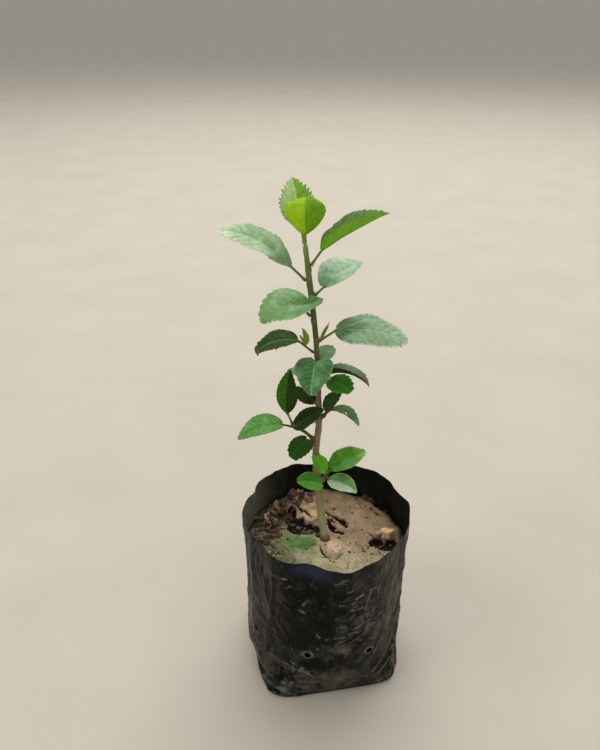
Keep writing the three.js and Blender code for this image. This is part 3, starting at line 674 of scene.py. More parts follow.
def soil_height(x, y):
    """Height of the crust over a point, and how deep a crack or hollow is there."""
    flat = np.stack([x, y], 1)
    deep = np.stack([x, y, 0 * x], 1)

    def strayed(size, seed):
        return np.stack([ripple(deep, size, seed), ripple(deep, size, seed + 1)], 1)

    wave = np.sin(0.13 * x + 1.3) * np.cos(0.11 * y - 0.4) + 0.5 * np.sin(0.31 * x - 0.27 * y)
    off = smooth(np.hypot(x, y), SOIL_PAD, 2 * SOIL_PAD)
    top = SOIL_HEIGHT + SOIL_RELIEF * wave * off
    warp = 2.2 * strayed(7, 20)
    for middle, half, rise, flatness in LUMPS:
        gap = np.linalg.norm((flat + warp - middle) / half, axis=1)
        top += rise * smooth(1.12 - gap, 0, flatness)
    cut = np.zeros(len(x))
    jitter = 0.9 * strayed(2.4, 22) + 0.45 * strayed(1.1, 32)
    for line, depth, half in CRACKS:
        gap, where = away_from(flat + jitter, line)
        ends = 0.25 + 0.75 * np.sin(math.pi * np.clip(where, 0.05, 0.95))
        cut = np.maximum(cut, depth * bell(gap, half) * ends)
    for middle, half, depth in HOLLOWS:
        gap = np.linalg.norm((flat + warp * 0.5 - middle) / half, axis=1)
        cut = np.maximum(cut, depth * smooth(1.25 - gap, 0, 0.55))
    pits = np.clip(ripple(deep, 3.1, 24) - 0.55, 0, 1) * 3.6 + np.clip(ripple(deep, 1.7, 25) - 0.62, 0, 1) * 2.6
    rough = 0.45 + 0.55 * smooth(ripple(deep, 18, 26), -0.2, 0.4)
    fine = 0.30 * ripple(deep, 6, 27) + (0.13 * ripple(deep, 2.3, 28) + 0.09 * ripple(deep, 1.1, 29)) * rough
    rubble = smooth(-x, 26, 44) + smooth(y - 0.3 * x, 40, 52)
    fine += rubble * (0.8 * np.abs(ripple(deep, 5, 30)) + 0.4 * np.abs(ripple(deep, 2.2, 31)))
    return top + fine * off ** 0.5 - cut - pits * off, cut + 1.2 * pits


def ground_at(x, y):
    """Height of the crust over one place."""
    return soil_height(np.array([float(x)]), np.array([float(y)]))[0][0]


# Rings over the crust by their share of the way out, and down inside the film by height and distance from it
RING_SHARES = np.concatenate([np.linspace(0.012, 0.985, 126), [1.0]])
SIDE_RINGS = (
    (106.0, 1.0), (96.0, 1.6), (70.0, 1.6), (54.0, 2.6), (44.0, 2.6), (24.0, 1.6), (10.0, 1.4), (3.0, 1.2),
    (0.8, 4.0),
)
soil_turns = -60.0 + np.arange(SOIL_COLUMNS)
edge_level = np.full(SOIL_COLUMNS, SOIL_EDGE + 1.0)
edge_out, _ = film_relief(soil_turns, edge_level)
edge_radius = bag_radius(soil_turns, edge_level) + edge_out - FILM - SOIL_GAP
soil_angle = np.radians(soil_turns)
x = (RING_SHARES[:, None] * edge_radius * np.cos(soil_angle)).ravel()
y = (RING_SHARES[:, None] * edge_radius * np.sin(soil_angle)).ravel()
crust, depth = soil_height(x, y)
rim_share = np.repeat(RING_SHARES, SOIL_COLUMNS)
crust -= 1.5 * smooth(rim_share, 0.955, 1.0)
top_rings = np.stack([x, y, crust], 1).reshape(-1, SOIL_COLUMNS, 3)
side_rings = []
for level, back in SIDE_RINGS:
    at = np.full(SOIL_COLUMNS, level)
    out, _ = film_relief(soil_turns, at)
    reach = bag_radius(soil_turns, at) + np.minimum(out, 0.6) - FILM - back
    side_rings.append(on_bag(soil_turns, at, reach))
rings = np.concatenate([top_rings, np.stack(side_rings)])
# Colours of the crust, of the painted shade in its cracks, hollows and pits and along the film, and of its
# sides
SOIL_TAN, SOIL_PINK, SOIL_OLIVE = paint(202, 188, 150), paint(168, 142, 110), paint(116, 126, 82)
ALGAE, CLOD_PALE, ROOT_LUMP = paint(82, 132, 52), paint(206, 174, 136), paint(228, 190, 164)
SOIL_PAINTED_SHADE, SOIL_SIDE = paint(24, 18, 13), paint(24, 19, 15)


def laid_over(colour, over, share):
    """Colours with a share of another colour laid over each."""
    return colour + (np.asarray(over) - colour) * np.clip(share, 0, 1)[:, None]


def shaded_by(colour, factor):
    """Colours with all but their alpha times a factor for each."""
    return colour * np.stack([factor] * 3 + [0 * factor + 1], 1)


deep = np.stack([x, y, 0 * x], 1)
tint = np.tile(SOIL_TAN, (len(x), 1))
tint = laid_over(tint, SOIL_PINK, smooth(0.55 * x + y + 8 * ripple(deep, 16, 40), -14, 14))
tint = laid_over(tint, SOIL_OLIVE, 0.85 * smooth(-x - 0.15 * y + 8 * ripple(deep, 12, 41), 12, 34))
green = np.hypot((x + 17) / 17, (y + 5) / 14) + 0.35 * ripple(deep, 7, 42)
tint = laid_over(tint, ALGAE, 0.9 * smooth(-green, -1.1, -0.35))
clod = np.hypot((x + 18) / 16, (y - 35) / 20) + 0.2 * ripple(deep, 7, 43)
tint = laid_over(tint, CLOD_PALE, smooth(-clod, -1.1, -0.8))
lump = np.hypot((x - 6) / 9, (y + 11) / 9) + 0.2 * ripple(deep, 5, 44)
tint = laid_over(tint, ROOT_LUMP, 0.8 * smooth(-lump, -1.1, -0.6))
mottle = 1 + 0.16 * ripple(deep, 11, 46) + 0.12 * ripple(deep, 3.5, 47) + 0.08 * ripple(deep, 1.3, 48)
tint = shaded_by(tint, mottle)
# Painted shade: darker in cracks, hollows and pits, and in a band along the film
tint = laid_over(tint, SOIL_PAINTED_SHADE, smooth(depth, 0.3, 1.4))
tint = laid_over(tint, SOIL_PAINTED_SHADE, 0.75 * smooth(rim_share + 0.03 * ripple(deep, 9, 49), 0.9, 0.99))
# Painted shade: patches of near-black crust at the left, which show as dark gaps between the lumps and scraps
rubble = smooth(-x, 30, 46) * smooth(y, -12, 10)
tint = laid_over(tint, paint(34, 24, 17), 0.85 * rubble * smooth(ripple(deep, 3, 45), -0.3, 0.4))
soil = Shape(tint=SOIL_SIDE)
side_tint = np.tile(SOIL_SIDE, (len(side_rings) * SOIL_COLUMNS, 1))
count = len(rings) * SOIL_COLUMNS
index = np.arange(count).reshape(-1, SOIL_COLUMNS)
after = np.roll(index, -1, axis=1)
quads = np.stack([index[:-1], index[1:], after[1:], after[:-1]], -1).reshape(-1, 4)
top_middle, foot_middle = np.full(SOIL_COLUMNS, count), np.full(SOIL_COLUMNS, count + 1)
tris = np.concatenate([np.stack([top_middle, index[0], after[0]], 1),
                       np.stack([foot_middle, after[-1], index[-1]], 1)])
points = np.concatenate([rings.reshape(-1, 3), [rings[0].mean(0)], [rings[-1].mean(0)]])
soil.add(points, quads, tris, tint=np.concatenate([tint, side_tint, tint[:1], side_tint[:1]]))


def tinted(tree, colour, red, green, blue):
    """A colour with each of its parts times a factor."""
    return mix(tree, 1.0, colour, (red, green, blue, 1), "MULTIPLY")


crust_finish, tree, shader = finish_of("silty_crust", Specular_IOR_Level=0.2)
place = add(tree, "TexCoord").outputs["Object"]
colour = painted(tree, "tint", "Color")
cover, grain = settled_dust(tree, place, 0.55, 0.006)
colour = mix(tree, cover, colour, tinted(tree, colour, 1.3, 1.27, 1.22))
stained = tinted(tree, colour, 0.42, 0.38, 0.34)
colour = blotched(tree, colour, stained, noise(tree, place, 120, 6, 0.7), 0.5, 0.68, 0.5)
dark = spread(tree, noise(tree, place, 520, 4, 0.65), 0.54, 0.66)
colour = mix(tree, times(tree, dark, 0.45), colour, paint(84, 66, 48))
bits = specks_on(tree, place, 420, 0.1, 0.22, 120, 0.49, 0.58)
way_back = add(tree, "SeparateXYZ", {0: place}).outputs["Y"]
bits = times(tree, bits, spread(tree, way_back, -0.04, -0.015, 0.2, 1))
colour = mix(tree, times(tree, bits, 0.75), colour, paint(60, 46, 34))
tree.links.new(colour, shader.inputs["Base Color"])
tree.links.new(spread(tree, grain, 0.3, 0.7, 0.82, 0.96), shader.inputs["Roughness"])
lumpy = times(tree, noise(tree, place, 260, 5, 0.65), 1.6)
relief(tree, shader, plus(tree, lumpy, plus(tree, noise(tree, place, 900, 5, 0.7), grain)), 0.6, 0.9)
soil_body = soil.piece("soil_crust", crust_finish)
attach(soil_body, "root")
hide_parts("soil")


# Crumbs and small stones lie loose on the crust, with one pale stone half sunk at the right and
# darkened lumps in the hollow behind on the left.


def unit_ball(cuts):
    """Points and triangles of a ball of radius 1 made from an icosahedron."""
    mesh = bmesh.new()
    bmesh.ops.create_icosphere(mesh, subdivisions=cuts, radius=1)
    points = np.array([v.co for v in mesh.verts])
    tris = np.array([[v.index for v in face.verts] for face in mesh.faces])
    mesh.free()
    return points, tris


def unit(vector):
    """A vector, or each of a row of them, at length 1."""
    return vector / np.linalg.norm(vector, axis=-1, keepdims=True)


def turned(rng):
    """A random turn in space as a matrix."""
    a, b, c, d = unit(rng.normal(size=4))
    return np.array([[1 - 2 * (c * c + d * d), 2 * (b * c - a * d), 2 * (b * d + a * c)],
                     [2 * (b * c + a * d), 1 - 2 * (b * b + d * d), 2 * (c * d - a * b)],
                     [2 * (b * d - a * c), 2 * (c * d + a * b), 1 - 2 * (b * b + c * c)]])


def stone(shape, balls, rng, at, half, tint, knobs=0.28):
    """A lump with its middle at a point, knobbly and turned at random."""
    points, tris = balls
    knob = 1 + knobs * ripple(points + rng.uniform(-40, 40, 3), 1.1, 50)
    shape.add(points * knob[:, None] @ turned(rng).T * np.array(half) + at, tris=tris, tint=tint)


CRUMB_COUNT, LUMP_COUNT = 860, 30
CLEAR_OF_STEM, CLEAR_OF_FILM = 6, 56
# Where crumbs gather: middle, half sizes and share of them
SPOTS = [
    ((-46, 24), (9, 20), 0.2), ((-32, 46), (9, 9), 0.12), ((-17, 13), (9, 4), 0.08), ((42, -6), (9, 6), 0.1),
    ((40, 42), (9, 8), 0.12), ((-38, -14), (9, 10), 0.12), ((0, 0), (40, 36), 0.26),
]
CRUMB_TINTS = [
    paint(178, 156, 124), paint(132, 108, 80), paint(96, 76, 56), paint(60, 48, 38), paint(200, 182, 150),
]
LUMP_TINTS = [paint(96, 70, 50), paint(66, 46, 34), paint(118, 88, 62), paint(44, 32, 24)]
# Lumps in the hollows are darkened by this factor
HOLLOW_DARKENING = (0.45, 0.43, 0.4, 1)
# Lumps in the hollows: place, half size and colour before the darkening
WET_LUMPS = [
    (-22, 15, 2.2, paint(100, 98, 94)), (-17, 12, 2.9, paint(66, 62, 58)), (-12, 13, 2.3, paint(132, 128, 122)),
    (-19, 9, 1.5, paint(120, 116, 112)), (-27, 19, 2.4, paint(60, 50, 42)), (-15, 9, 1.3, paint(70, 64, 58)),
    (-9, 10, 2.0, paint(58, 50, 44)), (-25, 12, 1.8, paint(50, 44, 40)), (-14, 16, 1.7, paint(150, 142, 132)),
    (38, -6, 2.2, paint(66, 52, 42)), (44, -9, 1.8, paint(58, 46, 38)), (-5, 5, 1.8, paint(70, 62, 52)),
]
rng = np.random.default_rng(11)
fine_ball, small_ball = unit_ball(3), unit_ball(2)
crumbs = Shape(tint=SOIL_TAN)
for i in range(CRUMB_COUNT):
    (sx, sy), (wx, wy), _ = SPOTS[rng.choice(len(SPOTS), p=[share for *_, share in SPOTS])]
    px, py = sx + rng.normal() * wx * 0.6, sy + rng.normal() * wy * 0.6
    size = 0.25 + 0.95 * rng.random() ** 4
    shade = CRUMB_TINTS[rng.choice(5, p=[0.34, 0.22, 0.18, 0.16, 0.1])]
    if CLEAR_OF_STEM <= math.hypot(px, py) <= CLEAR_OF_FILM:
        at = (px, py, ground_at(px, py) + size * 0.3)
        stone(crumbs, small_ball, rng, at, size * rng.uniform(0.6, 1.2, 3), shade)
for px, py, size, shade in WET_LUMPS:
    at = (px, py, ground_at(px, py) + size * 0.25)
    stone(crumbs, fine_ball, rng, at, (size, size * 0.8, size * 0.7), np.array(shade) * HOLLOW_DARKENING, 0.5)
for i in range(LUMP_COUNT):
    angle, away = math.radians(rng.uniform(132, 192)), rng.uniform(36, 55)
    px, py, size = away * math.cos(angle), away * math.sin(angle), rng.uniform(1.0, 2.8)
    shade = LUMP_TINTS[rng.integers(4)]
    at = (px, py, ground_at(px, py) + size * 0.3)
    stone(crumbs, fine_ball, rng, at, size * rng.uniform(0.6, 1.1, 3), shade, 0.45)
ground = ground_at(52, 4)
stone(crumbs, unit_ball(4), rng, (49.5, 1.5, ground + 1.8), (5.2, 4.4, 3.8), paint(240, 198, 146), 0.75)
stone(crumbs, fine_ball, rng, (43.5, 3.5, ground + 0.8), (3.4, 3.0, 2.8), paint(176, 150, 118), 0.55)
crumb_finish, tree, shader = finish_of("crumbs_and_stones")
place = add(tree, "TexCoord").outputs["Object"]
cover, grain = settled_dust(tree, place, 0.6, 0.002)
colour = mix(tree, times(tree, cover, 0.35), painted(tree, "tint", "Color"), paint(190, 168, 134))
colour = blotched(tree, colour, paint(92, 66, 44), noise(tree, place, 700, 4), 0.5, 0.7, 0.5)
darker = tinted(tree, colour, 0.38, 0.3, 0.22)
colour = blotched(tree, colour, darker, noise(tree, place, 330, 3, 0.6), 0.52, 0.62, 0.6)
paler = tinted(tree, colour, 1.5, 1.5, 1.55)
colour = blotched(tree, colour, paler, noise(tree, place, 410, 3, 0.6), 0.56, 0.68, 0.45)
tree.links.new(colour, shader.inputs["Base Color"])
tree.links.new(spread(tree, grain, 0.3, 0.7, 0.75, 0.95), shader.inputs["Roughness"])
relief(tree, shader, grain, 0.25)
crumb_piece = crumbs.piece("soil_crumbs", crumb_finish)
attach(crumb_piece, "root")

# Litter. Dead leaf scraps, red-brown and curled, have drifted against the film at the left and behind.
# A few lie singly, most of them behind, and two torn scraps of black film lie at the back right.
LITTER_TINTS = [
    paint(118, 74, 50), paint(74, 44, 32), paint(176, 122, 78), paint(50, 32, 25), paint(186, 150, 106),
    paint(196, 172, 120),
]
litter = Shape(tint=LITTER_TINTS[0], place=(0.0, 0.0, 0.0))


def scrap(shape, rng, at, length, width, bend, tint, steps=9, across=7):
    """A curled scrap of thin dead leaf that lies round a point and stays inside the bag."""
    t, u = np.meshgrid(np.linspace(-1, 1, steps), np.linspace(-1, 1, across), indexing="ij")
    t, u = t.ravel(), u.ravel()
    flat = np.stack([t, u, 0 * t], 1) + rng.uniform(-30, 30, 3)
    x = t * length / 2 * (1 + 0.25 * ripple(flat, 0.8, 60))
    y = u * width / 2 * (1 - 0.55 * t * t) * (1 + 0.4 * ripple(flat, 0.5, 61))
    z = bend * (t * t + 0.7 * u * u) * width / 2 + 0.35 * ripple(flat, 0.7, 62)
    place = np.stack([x, y, z], 1)
    tilt = turned(rng) if rng.random() < 0.5 else np.eye(3)
    angle = rng.uniform(0, 2 * math.pi)
    level = np.array([[math.cos(angle), -math.sin(angle), 0], [math.sin(angle), math.cos(angle), 0], [0, 0, 1]])
    points = place @ (level @ tilt if rng.random() < 0.6 else level).T
    points += np.array(at) - (0, 0, points[:, 2].min() * 0.75)
    away = np.hypot(points[:, 0], points[:, 1])
    room = bag_radius(np.degrees(np.arctan2(points[:, 1], points[:, 0])), points[:, 2]) - 3
    points[:, :2] *= np.minimum(1, room / away)[:, None]
    grid = points.reshape(steps, across, 3)
    sheet(shape, grid - (0, 0, 0.12), grid, tint=tint, place=np.tile(place, (2, 1)))


SCRAP_COUNT, DRIFTED = 96, 74
rng = np.random.default_rng(23)
for i in range(SCRAP_COUNT):
    share = rng.random()
    drifted = i < DRIFTED
    turn_at = math.radians(176 - 62 * share + rng.normal() * 5 if drifted else rng.uniform(188, 232))
    away = rng.uniform(38, 57) if drifted else rng.uniform(44, 57)
    px, py = away * math.cos(turn_at), away * math.sin(turn_at)
    shares = [0.24, 0.22, 0.16, 0.2, 0.12, 0.06] if drifted else [0.1, 0.1, 0.2, 0.1, 0.2, 0.3]
    shade = LITTER_TINTS[rng.choice(6, p=shares)]
    at = (px, py, ground_at(px, py) + rng.uniform(-0.2, 1.0))
    scrap(litter, rng, at, rng.uniform(3.5, 11), rng.uniform(2.2, 6), rng.uniform(0.1, 1.1), shade)
# Single scraps: place and length
SINGLES = [
    (40, 50, 6), (33, 52, 8), (26, 50, 5), (44, 40, 4), (-13, 48, 5), (-8, 52, 4), (-4, 46, 4), (30, -14, 3),
    (38, 36, 3),
]
for px, py, length in SINGLES:
    scrap(litter, rng, (px, py, ground_at(px, py) + 0.4), length, length * 0.5, 0.4, LITTER_TINTS[length % 4])
litter_finish, tree, shader = finish_of("dead_leaf_scraps", Roughness=0.75)
place = add(tree, "TexCoord").outputs["Object"]
cover, grain = settled_dust(tree, place, 0.5, 0.003)
colour = painted(tree, "tint", "Color")
colour = blotched(tree, colour, paint(64, 38, 28), noise(tree, place, 800, 4), 0.42, 0.62, 0.6)
colour = mix(tree, times(tree, cover, 0.4), colour, paint(176, 152, 120))
tree.links.new(colour, shader.inputs["Base Color"])
relief(tree, shader, grain, 0.2)
litter_piece = litter.piece("dead_leaf_litter", litter_finish)
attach(litter_piece, "root")

TORN_ROWS, TORN_COLS = 22, 12
torn = Shape(inside=0.0, dust=0.3, olive=0.5, scuff=0.1, sheen=0.0, worn=0.3)
for px, py, length, width, lift in ((36, 49, 13, 6, 1.6), (48, 37, 8, 4, 1.2)):
    t, u = np.meshgrid(np.linspace(-1, 1, TORN_ROWS), np.linspace(-1, 1, TORN_COLS), indexing="ij")
    t, u = t.ravel(), u.ravel()
    flat = np.stack([t, u, 0 * t], 1)
    bx = px + t * length / 2 * 0.8 - u * width / 2 * 0.6 + 0.8 * ripple(flat, 0.5, 70)
    by = py - t * length / 2 * 0.55 - u * width / 2 * 0.8 + 0.8 * ripple(flat, 0.5, 71)
    ground, _ = soil_height(bx, by)
    bz = ground + 0.5 + lift * (0.5 + 0.5 * np.sin(3 * t + 2 * u)) + 0.5 * ripple(flat, 0.4, 72)
    grid = np.stack([bx, by, bz], 1).reshape(TORN_ROWS, TORN_COLS, 3)
    sheet(torn, grid, grid - (0, 0, 0.2))
torn_piece = torn.piece("torn_film_scrap", film)
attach(torn_piece, "root")

# Stem. One young upright stem, still green at the top, brown with thin bark below and swollen into a
# reddish collar where it leaves the soil. It kinks a little at each node, where a leaf once sat or sits.
STEM_BENDS = [
    (0, 112), (-4.4, 146), (-7.6, 184), (-8, 198), (-6.2, 220), (-7.4, 255), (-9, 286), (-12.6, 319),
    (-16.6, 353),
]
STEM_RADII = [(112, 3.25), (160, 2.9), (200, 2.45), (240, 1.95), (335, 1.9), (353, 1.4)]
FLARE_HEIGHT, FLARE_OUT = 6, 1.3
# Colours up the stem, by height
STEM_TINTS = [
    (112, paint(96, 62, 40)), (115, paint(128, 100, 70)), (119, paint(188, 178, 140)),
    (140, paint(178, 172, 128)), (158, paint(156, 136, 98)), (175, paint(154, 126, 94)),
    (205, paint(146, 118, 90)), (236, paint(120, 102, 64)), (262, paint(84, 88, 36)), (300, paint(72, 88, 28)),
    (330, paint(84, 110, 30)), (342, paint(100, 132, 36)), (353, paint(126, 156, 48)),
]


def smooth_line(points, steps=20):
    """A centripetal spline through points, as many close points."""
    points = np.asarray(points, float)
    points = np.concatenate([[2 * points[0] - points[1]], points, [2 * points[-1] - points[-2]]])
    gaps = np.linalg.norm(np.diff(points, axis=0), axis=1) ** 0.5
    t = np.linspace(0, 1, steps, endpoint=False)[:, None]
    made = []
    for i in range(1, len(points) - 2):
        a, b, c, d = points[i - 1:i + 3]
        before, here, after = gaps[i - 1:i + 2]
        first = ((b - a) / before - (c - a) / (before + here) + (c - b) / here) * here
        second = ((c - b) / here - (d - b) / (here + after) + (d - c) / after) * here
        square, cube = 3 * (c - b) - 2 * first - second, 2 * (b - c) + first + second
        made.append(b + first * t + square * t ** 2 + cube * t ** 3)
    return np.concatenate([*made, points[-2:-1]])


def lengths(line):
    """How far along a line each of its points lies."""
    return np.concatenate([[0], np.cumsum(np.linalg.norm(np.diff(line, axis=0), axis=1))])


def on_line(line, share):
    """The points at shares of a line's length."""
    way = lengths(line)
    return np.stack([np.interp(np.asarray(share) * way[-1], way, line[:, axis]) for axis in range(3)], -1)


def add_tube(shape, line, radii, sides, **values):
    """A round limb along a line, closed at both ends. radii is one for each point, or one for each
    point and side. A value is one for each point of the line or for the whole limb."""
    way = unit(np.gradient(line, axis=0))
    normal = unit(np.cross(way[0], (0.3, 0.9, 0.1)))
    normals = []
    for step in way:
        normal = unit(normal - step * (normal @ step))
        normals.append(normal)
    normals = np.array(normals)
    across = np.cross(way, normals)
    angle = 2 * math.pi * np.arange(sides) / sides
    radii = np.asarray(radii, float)
    radii = radii[:, None] if radii.ndim == 1 else radii
    ring = normals[:, None] * np.cos(angle)[:, None] + across[:, None] * np.sin(angle)[:, None]
    points = (line[:, None] + ring * radii[..., None]).reshape(-1, 3)
    rows = len(line)
    index = np.arange(rows * sides).reshape(rows, sides)
    after = np.roll(index, -1, axis=1)
    quads = np.stack([index[:-1], after[:-1], after[1:], index[1:]], -1).reshape(-1, 4)
    ends = rows * sides
    tris = np.concatenate([np.stack([np.full(sides, ends), after[0], index[0]], 1),
                           np.stack([np.full(sides, ends + 1), index[-1], after[-1]], 1)])
    points = np.concatenate([points, line[:1], line[-1:]])
    spread_values = {}
    for name, value in values.items():
        value = np.asarray(value, float)
        if value.ndim and len(value) == rows and np.shape(shape.defaults[name]) == value.shape[1:]:
            value = np.concatenate([np.repeat(value, sides, axis=0), value[:1], value[-1:]])
        spread_values[name] = value
    shape.add(points, quads, tris, **spread_values)


def stem_radius(height):
    """Radius of the stem's solid at a height, with the collar at the soil."""
    flare = np.clip(1 - (height - SOIL_HEIGHT) / FLARE_HEIGHT, 0, 1)
    return np.interp(height, *zip(*STEM_RADII)) + FLARE_OUT * flare ** 2


stem_line = smooth_line([(x, 0, z) for x, z in STEM_BENDS])
# Heights and turns at which leaves, shoots and old leaf scars sit on the stem
NODES = [
    (348, 115), (336, -12), (325.6, 180), (316, 20), (300, 195), (284, -12), (275, 190), (266, 75), (268, 265),
    (256, -20), (253, -42), (246, 88), (254, 145), (232, 120), (214, 100), (201.5, 225), (205, 190), (223, -28),
    (163, -20), (188, 20), (176, 200), (150, 160), (139, -60), (129, 110),
]
BARK_ROWS, BARK_SIDES = 520, 44
# The turn at which the rings of an upright limb start
RING_START = 161.6
# Turn of the side the light falls on, which the bark colour paints lighter
LIT_SIDE_TURN = -35
# Swelling at a node, and the scar of an old leaf under it: how far out, half height, and how far below
NODE_OUT, NODE_HALF = 0.34, 1.9
SCAR_DEEP, SCAR_HALF, SCAR_BELOW = 0.16, 0.6, 3.0
limbs = {"stem": (stem_line, lambda share: stem_radius(on_line(stem_line, share)[..., 2]))}


def grow_limb(line, radius_of, tint_of, nodes, rows, sides, tip):
    """A limb with bark relief: fine ridges, swollen nodes and the scars of old leaves. Its colour is painted
    lighter on the side the light falls on and darker on the far side.
    """
    shape = Shape(tint=(0.1, 0.1, 0.05, 1.0))
    share = np.linspace(0, 1, rows)
    middle = on_line(line, share)
    angle = 2 * math.pi * np.arange(sides) / sides
    radius = np.repeat(radius_of(middle)[:, None], sides, axis=1)
    flat = np.stack([np.tile(np.cos(angle) * 2.4, rows), np.tile(np.sin(angle) * 2.4, rows),
                     np.repeat(middle[:, 2], sides)], 1)
    ridged = 0.055 * ripple(flat, (0.9, 0.9, 5), 80) + 0.035 * ripple(flat, (0.4, 0.4, 2.2), 81)
    radius += ridged.reshape(rows, sides) * np.minimum(radius / 2.4, 1)
    radius += (0.05 * ripple(flat, (1.4, 1.4, 1.1), 82)).reshape(rows, sides)
    for height, turn in nodes:
        gap = (middle[:, 2] - height)[:, None]
        facing = np.cos(angle - math.radians(turn - RING_START))[None]
        radius += NODE_OUT * bell(gap, NODE_HALF) * (0.55 + 0.45 * facing)
        radius -= SCAR_DEEP * bell(gap + SCAR_BELOW, SCAR_HALF)
    tip_share, least = tip
    radius *= np.clip((1 - share) / tip_share, least, 1)[:, None]
    tint = tint_of(middle)
    # Painted light: the bark colour lighter on the lit side and darker on the far one
    painted_lit_side = 1 + 0.2 * np.cos(angle - math.radians(LIT_SIDE_TURN - RING_START))
    around = tint[:, None] * np.stack([painted_lit_side, painted_lit_side ** 0.9, painted_lit_side ** 0.9, 0 * painted_lit_side + 1], 1)[None]
    tint = np.concatenate([around.reshape(-1, 4), tint[:1], tint[-1:]])
    add_tube(shape, middle, radius, sides, tint=tint)
    return shape


HAIR_RADII = (0.035, 0.026, 0.008)


def add_hairs(shape, rng, line, radius_of, count, tint):
    """Short fine hairs that stand off a limb."""
    for i in range(count):
        share = rng.uniform(0.03, 0.995)
        root = on_line(line, share)
        way = unit(on_line(line, min(share + 0.01, 1)) - on_line(line, share - 0.01))
        out = unit(np.cross(way, rng.normal(size=3)))
        base = root + out * float(radius_of(root[None])[0]) * 0.95
        reach = rng.uniform(0.45, 1.15)
        tip = base + (out + way * rng.uniform(-0.5, 0.9)) * reach
        bend = (base + tip) / 2 + rng.normal(size=3) * 0.08
        add_tube(shape, np.stack([base, bend, tip]), HAIR_RADII, 4, tint=tint)


bark, tree, shader = finish_of("young_bark", Roughness=0.62, Specular_IOR_Level=0.35)
place = add(tree, "TexCoord").outputs["Object"]
streaks = noise(tree, drawn_out(tree, place, 0.14), 1500, 4, 0.6)
colour = blotched(tree, painted(tree, "tint", "Color"), paint(62, 50, 30), streaks, 0.38, 0.66, 0.35)
colour = blotched(tree, colour, paint(150, 140, 112), noise(tree, place, 210, 4), 0.52, 0.68, 0.5)
pores = specks_on(tree, place, 620, 0.14, 0.24, 300, 0.5, 0.6)
colour = mix(tree, times(tree, pores, 0.7), colour, paint(172, 156, 122))
tree.links.new(colour, shader.inputs["Base Color"])
relief(tree, shader, plus(tree, streaks, times(tree, pores, 0.5)), 0.18, 0.8)


def tints_by(entries):
    """A function of height that gives a colour between the entries of a list."""
    heights, tints = zip(*entries)

    def tint_of(middle):
        return np.stack([np.interp(middle[:, 2], heights, part) for part in zip(*tints)], 1)

    return tint_of


HAIR_TINT, STEM_HAIRS = paint(150, 150, 110), 700


def limb_piece(name, node, line, radius_of, entries, nodes, rows, sides, tip, hairs, seed):
    """A limb as a piece. tip is the share of its length that rounds off, and its least width."""
    shape = grow_limb(line, radius_of, tints_by(entries), nodes, rows, sides, tip)
    add_hairs(shape, np.random.default_rng(seed), line, radius_of, hairs, HAIR_TINT)
    made = shape.piece(name, bark)
    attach(made, "root")
    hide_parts(node)


def bark_radius(middle):
    """Radius of the living stem, which is slimmer than its solid two thirds up and near the soil."""
    height = middle[:, 2]
    slim_middle = 1 - 0.13 * bell(height - 272, 22)
    slim_foot = 1 - 0.07 * smooth(-height, -160, -120)
    return stem_radius(height) * slim_middle * slim_foot


# The stem starts 5 mm down in the soil
sunk = np.concatenate([stem_line[:1] + unit(stem_line[0] - stem_line[3]) * 5, stem_line])
limb_piece("stem_bark", "stem", sunk, bark_radius, STEM_TINTS, NODES, BARK_ROWS, BARK_SIDES, (0.008, 0.3),
           STEM_HAIRS, 31)


# Side shoots. Three short shoots from the leaf angles, soft and green-brown, with a swollen foot that
# grows out of the stem.
SHOOT_ROWS, SHOOT_SIDES, SHOOT_HAIRS = 120, 28, 90
SHOOTS = {
    "shoot_left": dict(height=205, turn=190, rise=38, length=22, radii=(1.3, 0.95), bow=1.6,
        tint=paint(84, 66, 42)),
    "shoot_right": dict(height=223, turn=-28, rise=52, length=15, radii=(1.2, 0.9), bow=0.6,
        tint=paint(96, 70, 46)),
    "shoot_base": dict(height=163, turn=-20, rise=64, length=18, radii=(1.3, 1), bow=0.4,
        tint=paint(112, 96, 58)),
}
# Air between a branch and its parent limb in the solids
CLEAR = 0.3


def heading(turn, rise):
    """The direction with this turn about the upright and this rise over the level."""
    turn, rise = np.radians(turn), np.radians(rise)
    return np.stack([np.cos(rise) * np.cos(turn), np.cos(rise) * np.sin(turn), np.sin(rise) + 0 * turn], -1)


def place_on(name, at):
    """The share of a limb's length at which an entry sits: a height on the stem, a share of a shoot."""
    if name != "stem":
        return at
    return float(np.interp(at, stem_line[:, 2], lengths(stem_line)) / lengths(stem_line)[-1])


def branch_start(name, share, direction, radius):
    """First point of a branch, just clear of its parent limb, as the solids have it."""
    line, radius_of = limbs[name]
    foot = on_line(line, share)
    tangent = unit(on_line(line, min(share + 0.004, 1)) - on_line(line, max(share - 0.004, 0)))
    lean = direction @ tangent
    across = math.sqrt(1 - lean * lean)
    past_side = (float(radius_of(share)) + CLEAR + radius * abs(lean)) / across
    past_tip = (CLEAR + radius * across) / lean if share > 0.999 and lean > 0.2 else past_side
    return foot + direction * min(past_side, past_tip)


def shoot_radius(start, low, high, length):
    """A function of places on a shoot that gives its radius there, widest at its swollen foot."""

    def radius_of(middle):
        gone = np.linalg.norm(middle - start, axis=1)
        return low + (high - low) * np.clip(gone / length, 0, 1) + 0.5 * bell(gone, 1.8)

    return radius_of


